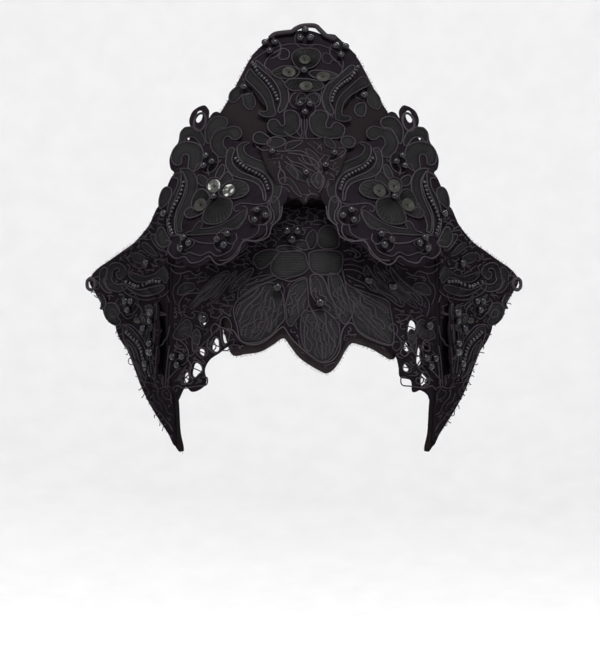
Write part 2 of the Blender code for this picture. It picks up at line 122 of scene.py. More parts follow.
# The same for the brow wall, which follows the forehead inside the halo
BROW_COLUMNS = (0, 40, 65, 75, 82)
BROW_DEPTHS = (
    (25, (-92, -84, -64, -50, -36)),
    (60, (-92, -84, -65, -52, -42)),
    (100, (-89, -82, -67, -57, -50)),
    (130, (-85, -80, -69, -62, -56)),
    (160, (-78, -74, -66, -60, -55)),
)
GRID = 1.0
GRID_X = 142.0
GRID_Z = (-6.0, 282.0)

# Where each kind of motif goes, as in the solids
MOTIFS = {
    "peak": {"centre": (0, 234.5), "tilt": 180, "narrow": 0.86, "squeeze": 0.6, "bend": 0,
             "lift": 0, "lift_start": 0},
    "shoulder": {"centre": (51.5, 153.5), "tilt": 24, "narrow": 1.0, "squeeze": 1.0, "bend": 9,
                 "lift": 12, "lift_start": -12},
    "wing": {"centre": (95.5, 78.5), "tilt": 61, "narrow": 0.6, "squeeze": 1.0, "bend": 0,
             "lift": 4, "lift_start": 0},
}
BEND_REACH = 50.0
MOTIF_HALF = read_points("""
 0,-57.5 4.5,-56.5 7,-52.5 6.5,-48 10,-50 14,-48.5 16,-43.5 20,-41.5 24,-37 24.5,-31 22.5,-27.5 26,-25.5 31,-21 35,-15
 37.5,-8 38.5,0
""")
SCALLOPS = 5
SCALLOP_DEPTH = 3.0
BASE_CENTRE_V = 9.0
BASE_HALF_WIDTH = 38.0
BASE_REACH = 27.5
BASE_END_V = BASE_CENTRE_V + BASE_REACH + SCALLOP_DEPTH


def hermite(knots, values, at):
    """Smooth curves through values, whose last axis follows the knots, read at many places."""
    at = np.clip(at, knots[0], knots[-1])
    i = np.clip(np.searchsorted(knots, at) - 1, 0, len(knots) - 2)
    span = knots[i + 1] - knots[i]
    t = (at - knots[i]) / span
    slopes = np.gradient(values, knots, axis=-1)
    start = (1 + 2 * t) * (1 - t) ** 2 * values[..., i] + t * (1 - t) ** 2 * span * slopes[..., i]
    end = t * t * (3 - 2 * t) * values[..., i + 1] - t * t * (1 - t) * span * slopes[..., i + 1]
    return start + end


def smooth_step(t):
    t = np.clip(t, 0.0, 1.0)
    return t * t * (3 - 2 * t)


class Wall:
    """A wall known by its depth over x and z, kept as a fine grid."""

    def __init__(self, columns, rows):
        knots = np.array([-c for c in columns[:0:-1]] + list(columns), float)
        heights = np.array([row[0] for row in rows], float)
        table = np.array([list(row[1][:0:-1]) + list(row[1]) for row in rows], float)
        self.xs = np.arange(-GRID_X, GRID_X + GRID, GRID)
        zs = np.arange(GRID_Z[0], GRID_Z[1] + GRID, GRID)
        across = hermite(knots, table, self.xs)
        self.depth = hermite(heights, across.T, zs).T
        self.slope_x = np.gradient(self.depth, GRID, axis=1)
        self.slope_z = np.gradient(self.depth, GRID, axis=0)
        self.stretch = np.sqrt(1 + self.slope_x ** 2)
        steps = (self.stretch[:, 1:] + self.stretch[:, :-1]) * GRID / 2
        self.length = np.concatenate((np.zeros((len(zs), 1)), np.cumsum(steps, axis=1)), axis=1)

    def read(self, grid, x, z):
        column = np.clip((x + GRID_X) / GRID, 0, grid.shape[1] - 1.001)
        row = np.clip((z - GRID_Z[0]) / GRID, 0, grid.shape[0] - 1.001)
        i, j = row.astype(int), column.astype(int)
        down, along = row - i, column - j
        low = grid[i, j] * (1 - along) + grid[i, j + 1] * along
        high = grid[i + 1, j] * (1 - along) + grid[i + 1, j + 1] * along
        return low * (1 - down) + high * down

    def place(self, flat, height=0.0):
        """Points in front of the wall, from x and z."""
        x, z = flat[:, 0], flat[:, 1]
        normal = np.stack((self.read(self.slope_x, x, z), -np.ones(len(x)), self.read(self.slope_z, x, z)), 1)
        normal /= np.linalg.norm(normal, axis=1)[:, None]
        points = np.stack((x, self.read(self.depth, x, z), z), 1)
        return points + normal * np.broadcast_to(height, len(x))[:, None]

    def walk(self, x, z, distance):
        """The x reached from x by going that far along the wall at height z."""
        target = self.read(self.length, x, z) + distance
        reached = x + distance * 0.8
        for _ in range(10):
            reached = reached - (self.read(self.length, reached, z) - target) / self.read(self.stretch, reached, z)
        return reached


HALO = Wall(HALO_COLUMNS, HALO_DEPTHS)
BROW = Wall(BROW_COLUMNS, BROW_DEPTHS)


def brow_lace_place(flat, height=0.0):
    return BROW.place(flat, height + SEWN_GAP + LACE)


def motif_place(kind, side):
    """The function that lays a motif's u and v on the outer face of its lace (side 1 is right, -1 left)."""
    spec = MOTIFS[kind]
    turn = math.radians(spec["tilt"])

    def place(flat, height=0.0):
        u, v = flat[:, 0] * spec["narrow"], flat[:, 1]
        start = spec["lift_start"]
        lifted = spec["lift"] * smooth_step((v - start) / (BASE_END_V - start))
        u = u - np.where(v < 0, spec["bend"] * (v / BEND_REACH) ** 2, 0.0)
        reach = np.where(v < 0, v, v * spec["squeeze"])
        along = u * math.cos(turn) - reach * math.sin(turn)
        z = spec["centre"][1] - u * math.sin(turn) - reach * math.cos(turn)
        x = HALO.walk(np.full(len(u), float(spec["centre"][0])), z, along)
        points = HALO.place(np.stack((x, z), 1), SEWN_GAP + LACE + lifted + height)
        points[:, 0] *= side
        return points

    return place


PLACES = {"peak": ("peak", 1)}
for kind_name in ("shoulder", "wing"):
    PLACES[f"{kind_name}_left"] = (kind_name, -1)
    PLACES[f"{kind_name}_right"] = (kind_name, 1)

SPRIG_TOP = 187.5
SPRIG_FOOT = 147.0
SPRIG_RISE = 3.9
SPRIG_LEAN = 4.0


def sprig_place(flat, height=0.0):
    lean = SPRIG_LEAN * smooth_step((SPRIG_TOP - flat[:, 1]) / (SPRIG_TOP - SPRIG_FOOT))
    return HALO.place(flat, SPRIG_RISE + LACE + lean + height)


# Cord and thread: the radius, and how high the middle lies above the face below
CORD_RADIUS = 0.43
CORD_RISE = 0.35
OUTLINE_RISE = 0.45
VEIN_RISE = 0.62
SCRIBBLE_RADIUS = CORD_RADIUS * 0.85
SCRIBBLE_RISE = 0.25
THREAD_RADIUS = 0.3
THREAD_RISE = 0.2

# A cord is cut where one step along it is longer than this
LONGEST_STEP = 6.0

# Veins: their distance apart, the width of a loop, its bow, its sway, and its distance from the leaf's edge
VEIN_SPACING = 7.0
VEIN_GAP = 3.3
VEIN_BOW = 0.6
VEIN_SWAY = 1.1
VEIN_CLEAR = 0.9

# Scribbled cord: the size of its rows in each place, and its distance from what is drawn
SCRIBBLE_ROWS = {"sprig": 6.0, "nape": 5.0, "brow": 4.8, "side": 4.2}
SCRIBBLE_CLEAR = 1.2

# How much higher the front lace ends than the felt behind it
HEM = 3.2

# Drawing in the flat


def curve(points, closed=False, step=0.9):
    """A smooth line through the points, with even steps."""
    p = np.array(points, float)
    if closed:
        p = np.concatenate((p[-1:], p, p[:2]))
    else:
        p = np.concatenate((2 * p[:1] - p[1:2], p, 2 * p[-1:] - p[-2:-1]))
    t = np.linspace(0, 1, 12, endpoint=False)[:, None]
    pieces = []
    for a, b, c, d in zip(p[:-3], p[1:-2], p[2:-1], p[3:]):
        square, cube = 2 * a - 5 * b + 4 * c - d, 3 * b - a - 3 * c + d
        pieces.append(0.5 * (2 * b + (c - a) * t + square * t ** 2 + cube * t ** 3))
    line = np.concatenate(pieces + [p[-2:-1]])
    lengths = np.concatenate(([0], np.cumsum(np.linalg.norm(np.diff(line, axis=0), axis=1))))
    count = max(int(round(lengths[-1] / step)), 3)
    at = np.linspace(0, lengths[-1], count + 1)
    even = np.stack([np.interp(at, lengths, line[:, k]) for k in range(line.shape[1])], 1)
    return even[:-1] if closed else even


def oval(u, v, half_u, half_v, sides=24):
    a = np.linspace(0, 2 * math.pi, sides, endpoint=False)
    return np.stack((u + half_u * np.cos(a), v + half_v * np.sin(a)), 1)


def finger(start, end, waves, phase):
    """A long narrow loop of cord, open at its start, that wavers a little as a vein does."""
    along = end - start
    normal = np.array((-along[1], along[0])) / np.linalg.norm(along)
    t = np.linspace(0, 1, 12)
    sway = VEIN_BOW * np.sin(math.pi * t) + VEIN_SWAY * np.sin(waves * 2 * math.pi * t + phase)
    spine = start + along * t[:, None] + normal * sway[:, None]
    half = (VEIN_GAP / 2 * (0.35 + 0.65 * np.sin(math.pi * np.clip(t, 0, 0.93)) ** 0.5))[:, None]
    right, left = spine + normal * half, spine - normal * half
    return np.concatenate((right, spine[-1:] + along / np.linalg.norm(along) * VEIN_GAP * 0.35, left[::-1]))


def inside(points, ring):
    """Which flat points lie in a closed ring."""
    x, y = points[:, 0][:, None], points[:, 1][:, None]
    x0, y0 = ring[:, 0][None], ring[:, 1][None]
    x1, y1 = np.roll(ring[:, 0], -1)[None], np.roll(ring[:, 1], -1)[None]
    rising = (y0 > y) != (y1 > y)
    with np.errstate(divide="ignore", invalid="ignore"):
        crossing = x < (x1 - x0) * (y - y0) / (y1 - y0) + x0
    return (rising & crossing).sum(1) % 2 == 1


def ring_distance(points, ring):
    """How far each flat point is from a closed ring."""
    nearest = np.full(len(points), 1e9)
    for a, b in zip(ring, np.roll(ring, -1, axis=0)):
        along = b - a
        t = np.clip(((points - a) @ along) / max(along @ along, 1e-9), 0, 1)
        nearest = np.minimum(nearest, np.linalg.norm(points - a - t[:, None] * along, axis=1))
    return nearest


def flat_fill(rings, spacing):
    """Points and triangles that fill the first ring around the others."""
    low, high = rings[0].min(0), rings[0].max(0)
    rows = np.arange(low[1], high[1], spacing * math.sqrt(3) / 2)
    grid = [(x + spacing / 2 * (k % 2), y) for k, y in enumerate(rows) for x in np.arange(low[0], high[0], spacing)]
    grid = np.array(grid)
    keep = inside(grid, rings[0])
    for ring in rings:
        keep &= ring_distance(grid, ring) > spacing * 0.45
    for ring in rings[1:]:
        keep &= ~inside(grid, ring)
    points = np.concatenate(list(rings) + [grid[keep]])
    edges = []
    start = 0
    for ring in rings:
        edges += [(start + i, start + (i + 1) % len(ring)) for i in range(len(ring))]
        start += len(ring)
    coords, _, faces, *_ = delaunay_2d_cdt([Vector(p) for p in points], edges, [], 0, 1e-5)
    coords = np.array([tuple(c) for c in coords])
    faces = np.array([f for f in faces if len(f) == 3])
    middles = coords[faces].mean(1)
    good = inside(middles, rings[0])
    for ring in rings[1:]:
        good &= ~inside(middles, ring)
    return coords, faces[good]


class Pattern:
    """A flat drawing in cord, satin and seed beads, to be laid on a wall once or more."""

    def __init__(self):
        self.cords = []
        self.pads = []
        self.seeds = []

    def cord(self, points, closed=False, radius=CORD_RADIUS, height=CORD_RISE):
        self.cords.append((curve(points, closed), closed, radius, height))

    def pad(self, points, rise, base, edge, cup, stitches):
        """A raised satin shape with a cord round it."""
        ring = curve(points, True, 1.1)
        coords, faces = flat_fill([ring], 1.15)
        depth = ring_distance(coords, ring)
        dome = np.sqrt(np.clip(1 - (1 - np.clip(depth / edge, 0, 1)) ** 2, 0, 1))
        height = base + rise * dome - cup * np.clip((depth - edge) / max(depth.max(), 0.1), 0, 1)
        # Painted shade and highlight: darker towards the pad's edge by its cord, lighter in its middle
        shade = np.clip(depth / 3, 0, 1)
        if stitches == "out":
            away = coords - points.mean(0) * 0.15
            stitch = np.arctan2(away[:, 1], away[:, 0]) * 9.0
            other = np.linalg.norm(away, axis=1)
            # For a cupped petal, painted shade instead: darker towards the flower's middle
            shade = np.clip(np.linalg.norm(coords, axis=1) / 14 - 0.9, -0.7, 0.4)
        elif stitches == "round":
            run = np.cumsum(np.linalg.norm(ring - np.roll(ring, 1, axis=0), axis=1))
            weight = 1 / (np.linalg.norm(coords[:, None] - ring[None], axis=2) + 0.3) ** 3
            angle = 2 * math.pi * run / run[-1]
            stitch = np.arctan2((weight * np.sin(angle)).sum(1), (weight * np.cos(angle)).sum(1))
            stitch = stitch / (2 * math.pi) * run[-1]
            other = depth
        else:
            stitch, other = coords[:, 1], coords[:, 0]
        self.pads.append((coords, faces, height, np.stack((stitch, other, shade), 1)))
        self.cords.append((ring, True, CORD_RADIUS, base + OUTLINE_RISE))


def base_curve(inset, depth, points_each=10, start=0.0, end=1.0):
    """The motif's scalloped base edge, moved inwards."""
    count = SCALLOPS * points_each
    line = []
    for i in range(int(round(start * count)), int(round(end * count)) + 1):
        along = SCALLOPS * i / count
        bulge = depth * math.sin(math.pi * (along % 1.0)) - inset
        angle = math.pi * i / count
        line.append((
            (BASE_HALF_WIDTH + bulge) * math.cos(angle),
            BASE_CENTRE_V + (BASE_REACH + bulge) * math.sin(angle),
        ))
    return np.array(line)


def motif_outline():
    """The lace motif's closed outline, smooth along its lobes."""
    half = curve(MOTIF_HALF, step=1.2)
    left = half[::-1] * np.array((-1, 1))
    return np.concatenate((half[:-1], base_curve(0, SCALLOP_DEPTH, 10)[:-1], left[:-1]))


MOTIF_EYELETS = ((0, -52, 2.7, 3.6), (8.5, -43.5, 1.2, 2.0), (-8.5, -43.5, 1.2, 2.0))

# The ornament, drawn one by one. pad and cell are raised satin with a cord round it, petal is a flower's cupped
# petal, leaf is flat satin with veins, line is a cord alone, seeds is a string of seed beads, and loop and ring
# are thick cord round an eyelet. SHOULDER and PEAK go by u and v, the others by x and z.
SHOULDER_ART = read_art("""
pad -2.6,-35 -1.5,-40.5 1.8,-45.3 7.4,-48.6 12,-48.9 13.9,-46 14,-42.9 11.9,-41.3 10,-43 6.1,-42.1 3.1,-39.7 1.1,-36.1
 -0.6,-33.4
pad -0.3,-29.9 0.8,-34.3 5.3,-38.4 11.5,-41.5 17.6,-41.7 21.6,-38.6 21.9,-33.8 19.1,-30.6 15.7,-30.4 15,-33.4
 12.1,-34.3 9.8,-32.2 10.6,-28.6 11.7,-25.7 8.9,-22 4.2,-22.2 1.3,-25.6
pad -18.8,-39.6 -18.5,-42.4 -14.6,-45.5 -10.4,-46.7 -6.5,-45.3 -3.9,-42.1 -3.5,-36.8 -4.6,-33 -8.2,-36.4 -10.7,-38.9
 -13.8,-38.9 -17.1,-38.1
pad -26.8,-30.6 -25.7,-33.9 -22.5,-36.1 -17.2,-37.3 -11.8,-38 -7.8,-36.4 -5.9,-32.5 -7.2,-26.8 -10.4,-22.2 -14,-21.5
 -15.4,-24.9 -13.9,-28.9 -15.7,-32.1 -18.2,-32.1 -20.1,-29.6 -22.7,-27.9 -25.4,-28.4
pad -30,-22.9 -26,-21.7 -26.4,-17.1 -30.2,-12.5 -35.2,-7.2 -38.8,-0.1 -39.1,7.2 -37,13.3 -33.2,18.2 -28.7,20
 -29.6,16.2 -32.3,12.2 -33.6,6.5 -32.8,0.3 -29.5,-4.7 -24.9,-10.5 -21.5,-16 -21.4,-20.5 -22.2,-23.4 -25.7,-24.5
pad -20.6,-22.9 -17.5,-24.8 -14.4,-21.3 -12.7,-16.3 -13.5,-10.5 -17.3,-5.5 -22.5,-0.7 -26.1,4.6 -26.4,10.4 -25.2,15.2
 -25.8,16.9 -27.6,12.4 -28.5,7.9 -28.2,2.6 -25.1,-2.2 -20.3,-7.9 -17.5,-13.1 -17.1,-17.8 -18.8,-20.7
pad 17.9,-27.5 13.3,-25.8 9.3,-22 8.1,-16.4 9.5,-11.2 13.6,-6.5 18.8,-2.5 23.3,1.2 26.1,5.4 26.2,8.8 29.3,7.5 29.7,3.6
 28.2,-1.4 24.2,-5.3 20.2,-8.7 16.4,-13.3 14.4,-18.2 15.3,-22.7 16.5,-25.2
pad 17.1,-25.2 21,-25.9 24.3,-24.9 21.7,-23.7 20.6,-21.6 23.3,-17.7 27.6,-15.2 32.1,-11.6 35.7,-6.4 37,-0.3 36.6,4.8
 34.1,7 34.6,-2.4 32.2,-7 28.8,-10 23.4,-14.3 19.6,-18.3 18,-22
line -22.3,-23.3 -21.4,-18.8 -23.1,-13 -27.5,-8 -31.6,-3 -33.3,3 -33.1,8.7 -31.4,13.8 -28.5,16.7 -25.1,18.3 -20.4,16.6
 -16.3,13.6 -12.7,11.6 -9.6,11.7 -8.3,13.2 -9.2,15.4 -11,15.5
line 16.2,-25.3 15.5,-21 15.9,-16.6 19.1,-12.2 22.5,-9 26.4,-5.9 29.6,-1.9 31.1,2.9 31.1,7.4 27.9,10 24.7,12.1
seeds -19.7,-16.9 -23.1,-9.6 -27.8,-3.2 -30.7,2.5 -30,10.5
seeds 16.6,-18.1 21.1,-12.3 27.1,-8.6 31.2,-5.3 34.3,-1.1 32.8,6.8
pad -11.7,-15.8 -10.3,-17.4 -7.1,-15.8 -4.1,-12.5 -3.9,-9.8 -7.1,-10.5 -10.3,-12.6
pad -13.9,-5.9 -13.7,-9.6 -11.7,-12 -8.4,-10.5 -5.2,-8.3 -3.8,-5.6 -7.6,-5.2 -11.1,-4.7
pad 0.9,-11.9 2.4,-15.4 5.5,-18.1 7.7,-16.7 7.2,-12.7 4.3,-10.1 2.1,-10
petal -20.5,4.7 -20.2,0.9 -17.5,-2.7 -13,-5.1 -8.5,-5 -2.9,-1.1 -6,3.8 -10.7,7.3 -15.9,8.3 -19.1,7.1
petal -5.7,-9.9 -2.7,-12.1 1,-11.7 3,-8 1.6,-3.2 -1.4,-2.9 -4.1,-5.7
petal 2.7,-1.7 4.7,-7.6 9.1,-9.2 13.8,-6 15.7,-1.8 13.7,1.5 9.5,2.6 5.1,0.9
petal 8.3,4.7 12,1.4 17.6,-1.8 21.6,-0.6 19.7,3.6 14.3,5.8 10.1,6
petal -7.8,12.9 -8.8,8.6 -6.5,4.4 -2,1.1 2.1,1 6.2,3.4 9.6,7.4 10.7,10.1 8.3,13.8 3.2,16.9 -2,17.7 -5.8,16
pad -13.9,17.1 -11,17.1 -6.6,18.2 0.2,18.6 6.7,17.1 13.2,14.1 11.1,12.2 12.6,9.6 15.4,10.1 18.7,12.3 24.6,11.4
 18.4,15.3 9.5,19.7 1.3,23.6 -4.9,24.8 -9.5,23.8 -12.8,21.1
line -5.6,28.1 -5.1,31.6 -2.3,32.8 -0.2,30.7 1,27.5 7.5,26.7 14.7,22.3 20,17.3 26.2,11.8
line -13.5,14.1 -14.9,15.9 -14.5,19 -12.6,21.6 -8.9,25.1 -5.6,25.8
pad -32.3,20.3 -31.2,16.4 -28.6,16.5 -26.9,21.3 -27.1,25.4 -25.7,30 -23,31.9 -26,32.1 -29.5,28.8
line -32.8,24.4 -29.1,30.5 -23.6,33 -19.9,37.8 -13.7,37.5 -9.1,34 -6.4,35.2 -2.7,39.5 5.9,40.5 9.6,37.9 11.7,32.7
 17.2,32.9 23.4,30.8 26.7,24.8 33.9,22.2 38.4,16.4 38.6,12.7 35.4,10.9 39.5,7.4
line -21.1,30.4 -20.1,34.9 -16.8,37.3 -12.2,36.5 -8.8,34.5 -5.8,35.7 -2.3,38.5 2.3,39.6 7.2,37.8
line -18.1,29 -15.6,33.3 -11,34.2 -7.2,32.8
line -3.7,32.5 0,35.9 7.4,35 10.8,30.6 16.4,29.7 21.5,25.2 25.3,21.7
line -28.3,16.9 -25.5,20.6 -24.8,26.4 -21.3,29.8 -18.8,29.9 -15.7,27.7 -13.9,24 -14.8,21
line 26.2,12.2 30.9,8.9 36.1,7.1
line 18.9,18 18.9,20.8 22.1,21.6 26,20.9 31.1,17.9 30.9,14.4
pad 27,-18.1 29.8,-21.7 34,-21.6 38.4,-17.4 39.5,-12.9 35.6,-12.3 30.5,-13.6
pad 36.6,10.3 38.5,4.1 42.3,-2.5 49.6,-0.1 47.3,6.6 40.4,11.2
line -10.8,-20.6 -8.6,-19.9 -4.5,-20.9 -0.9,-19.3 -0.5,-14.7
line 4.1,-25.1 9,-21.5
ring -0.6,-48.1
""")
PEAK_ART = read_art("""
line 35.8,7.1 28.7,14.3 22.2,18.9 13.1,22.7 4.1,23.6 -2.4,22.2 -10.1,22.6 -17.9,18.8 -24.6,12.9 -27.1,5.4 -26.8,-1.2
 -23.4,-6.2 -15.2,-11.1
line 26.6,-2.1 27.5,3.6 23.4,12.1 17.6,16.9 14.2,18.8 10.5,15.7 11,9.3 15.6,7.5 18,10.9 16.2,13.8
line -26.8,-1 -23,5.7 -17.6,12.7 -14,13.8 -12.4,9.3 -13.9,4.7 -17.5,3.4 -19.9,7.5
petal 8.4,7.1 7.9,12.6 4.1,16.8 -2.4,17.9 -8.8,16.8 -11.4,11.9 -10.1,4.5 -6.2,-0.4 -0.4,-1.3 5.1,-0.5
petal 22.3,-3.5 18.2,-1.1 12.8,0.4 6.6,-0.5 3,-3.1 6.4,-6.7 12.8,-7.4 19.5,-6.2
petal -3.4,-3.6 -7.5,-2.4 -15.2,-2.8 -21.6,-4.4 -23.2,-6.2 -17.8,-7.8 -10,-7.4 -4.9,-5.8
petal 13.3,-10.4 10.5,-7.9 4.1,-7.4 -4.9,-7.9 -11.6,-9.7 -13.6,-12.5 -8.8,-14.9 -1.1,-14.3 6.7,-15.1 11.8,-13.2
pad 40.9,-7 35.6,-11.8 30.1,-17.2 26.6,-22.5 25.6,-26.8 28.2,-28.2 31,-27.2 31,-29.1 27.4,-31 21.8,-31 19.7,-29
 20.8,-25.5 22.1,-19.9 24.6,-14.1 29.8,-8.2 35.3,-3.4 37.7,-0.9 39.6,-3.1
pad 33.2,6.9 28.3,1.2 22.1,-3.3 15.9,-7.3 12,-12.7 10.5,-18.5 12.1,-24.3 16.7,-28.7 18.2,-26.9 16.7,-22.9 16.4,-17.9
 18.6,-11.9 23.4,-6.1 29.6,-1.5 33.5,2.2
pad -45.7,-10.4 -39.7,-13.5 -33.2,-17.1 -28,-21.9 -26.1,-27.8 -26.9,-30.5 -31.2,-30.9 -32.4,-31.9 -31.1,-33.5
 -26.7,-34.1 -21.8,-32.4 -21.8,-27.8 -22.6,-23.1 -25.7,-17.5 -32.2,-11.9 -37.8,-7.4 -41.1,-5.6 -44.4,-7
pad -33.6,2.2 -28.1,-2.1 -22.3,-6.1 -16.5,-10.2 -13.3,-16.1 -12.6,-22 -14.5,-26.7 -19,-30.1 -20.8,-28 -18.8,-24.3
 -17.8,-19.7 -20.1,-13.7 -26.5,-7.8 -33.1,-3.2 -35.4,-0.3
seeds 35.8,3.8 32.2,-3.4 27.2,-7.6 23.4,-11.9 20.1,-16.6 18.5,-20.8
seeds -37,-0.3 -32.6,-6.6 -26.8,-10.3 -22.3,-14.2 -20.1,-18.5 -19.3,-21.8
line -15.2,-11.1 -12.4,-13.7 -12.1,-18.5 -13.9,-23.2 -15.2,-27.8 -20.3,-31.8
line 26.6,-2.1 20.8,-5.5 14.1,-9 11.5,-13.7 10.8,-19.7 12.1,-24.9 14.4,-29
pad 5.4,-22 4.6,-18 1.5,-16.1 -1.1,-18 -0.8,-22 2.3,-23.2
pad -2.3,-18.5 -6.2,-16.7 -10.1,-18.5 -9.5,-22 -5.6,-22.7
line 10.3,-22 8.2,-17.3 4.1,-15.5 -1.1,-14.9 -7.5,-15.8 -11.3,-18.5 -10.8,-23 -8.1,-25.5
line 1.5,-25.5 4.6,-26.2 8,-24.8 10.3,-22
pad 25.2,-35.8 23.3,-33.1 19.5,-33 16.9,-35.3 16.1,-37 13.5,-35.9 13.6,-32.4 13.8,-29 10.5,-27.2 5.4,-28.4 3.1,-32.4
 3.5,-38.2 7.9,-42.2 14.3,-43.4 20.7,-42.2 24.5,-39.3
pad -3.6,-34.8 -4.9,-30.1 -10,-27.2 -15.2,-28.4 -16.7,-31.3 -15.1,-35.3 -15.4,-37.7 -18.3,-38.2 -19.7,-35.9
 -22.8,-34.7 -27.3,-37 -27.9,-40.4 -25.3,-43.9 -17.7,-44.8 -10,-43.4 -5.5,-40.5
line 1.8,-32.4 2,-37.1 1.5,-41.7 3.5,-46.2
line -1.8,-32.4 -2.1,-37.1 -1,-41.7 -2.3,-47.2
line 0,-30.1 -0.3,-37.1 0.3,-44
""")
UPPER_ART = read_art("""
pad -45.5,216.1 -44.9,220.1 -41.7,223.3 -38.3,224.1 -37.2,220 -40.3,215.3 -43.7,214
pad -37.2,218.6 -32.7,219.3 -29.9,216.3 -29.8,211.6 -32.6,209.1 -36,211.7 -36.9,215.3
line -37.2,228.7 -35,225.7 -31,222.8 -30,220.4 -32.1,219.4 -35.1,218.7 -37.2,218.6 -38.3,217.6
pad 39.3,223.7 44.7,219 46.7,213.2 44.6,209.6 40.6,211.3 38.1,215.3
pad 30.7,210.5 32.5,212.8 36.7,213.5 37.4,209.4 36.1,205.4 32.8,205.3 30.6,207.6
line 39.1,224.7 34.6,222.2 31.6,219.9 31.2,216.9 34,216.1 37,214.6
pad -29.3,187.4 -27.3,191 -23,191.3 -20.2,188.4 -20.4,184.4 -24.4,184.1 -27.7,184.8
pad -17.8,185.9 -15.2,188.4 -11.1,188.4 -10.7,185.9 -13.5,182.4 -16.9,182.5
pad 10.9,184 12.7,187.7 17,187.3 20,182.5 18.1,179.9 13.8,180.6
pad 21.5,184.8 23.1,187.8 27,188.5 29.5,185.7 28.1,182.2 24.2,181.4 22,182.3
pad -10.6,181.3 -8.9,184.3 -4.7,185.9 -0.4,185.4 -3.5,181.3 -6.9,178.7 -10,179.2
line -37.1,185.2 -33.5,182.3 -26.8,180.2 -18,179.5 -15.2,178.7 -9.1,179 -4.7,179.2
line -16.9,187.3 -19.1,183.3 -16.8,181 -13,180.4
line 8.7,213.8 8.2,208 8.7,203.4
""")
SPRIG_ART = read_art("""
pad -11.1,183.5 -9.5,186.1 -5,187.2 -0.7,187.2 -3.9,184.3 -7.8,182.1 -10.4,181.2
pad -21.8,185.2 -20.7,188 -17.3,189.7 -12.3,188.5 -11.1,186.1 -13.9,183.8 -18.4,183.1
pad -29.9,189.7 -28.5,192.1 -25.7,192.8 -22.4,190.8 -19.5,188 -21.8,185.4 -26.3,185.6 -29.1,186.8
pad 21.9,188.5 24.2,190.2 28.1,189.7 29.8,186.8 28.1,183.5 24.2,183.5 21.9,185.7
pad 11.8,188 14.1,189.1 17.4,186.3 18.6,182.9 15.8,182.7 13,184.6
line -28,184 -24,181.2 -19.5,181.8 -15.1,180.7 -7.2,180.9 -1.6,180.7 2.3,178.2
line 1.8,185.7 5.1,183.5 8.5,179.6 13,177.9 17.4,177.3
line -9.5,179.6 -5,179 1.8,177.3 7.4,174 9.6,169.5
line -10.6,177.3 -7.2,174 -1.6,172.3 1.8,169.5 6.2,167.2
line -11.7,174 -7.2,170.6 -3.9,166.1 -4.4,161.6
line -15.1,170.6 -11.7,166.1 -11.1,160.5
line 8.5,167.2 6.8,162.7 8.5,159.4
line 4,166.1 1.8,161.6 3.4,157.1
line -1.6,178.4 0.6,174 5.1,171.7 8.5,172.3
line 13,174 15.2,177.3 19.7,178.4 23,180.7
line -5,194.1 -1.6,189.7 4,188.5 13,189.7
line -11.7,193 -7.2,189.7 -0.5,188.5
pad 0.9,182.3 6.3,179.3 9.8,173 10.6,166.8 7.2,168.3 3.9,174.2 1.8,179
pad -10.7,170.2 -7.9,172.2 -3.7,168 2,162.6 6.1,160.5 2,160.2 -4.6,162.6 -8.7,166.8
pad 4.1,163.2 7.2,166.8 10.1,165.6 10.6,160.1 8.5,156.1 5.2,159
pad -14.3,161.9 -10.6,163.4 -6.8,160.8 -3.3,154.9 -1.4,151 -5.7,153.8 -9,158.4 -13.2,159
line -8.5,174.2 -5.7,171.5 -0.2,169.3 4.1,166.8
line -14.9,174.2 -14.1,169.2 -15.3,164.3 -14.1,159.5
line -3.5,176.6 -0.2,173 6.3,170.5 10.1,166.8
line 11.8,177.8 8.5,173 9,166.8 11.7,163.1 10.6,157.2 8.5,153.8
""")
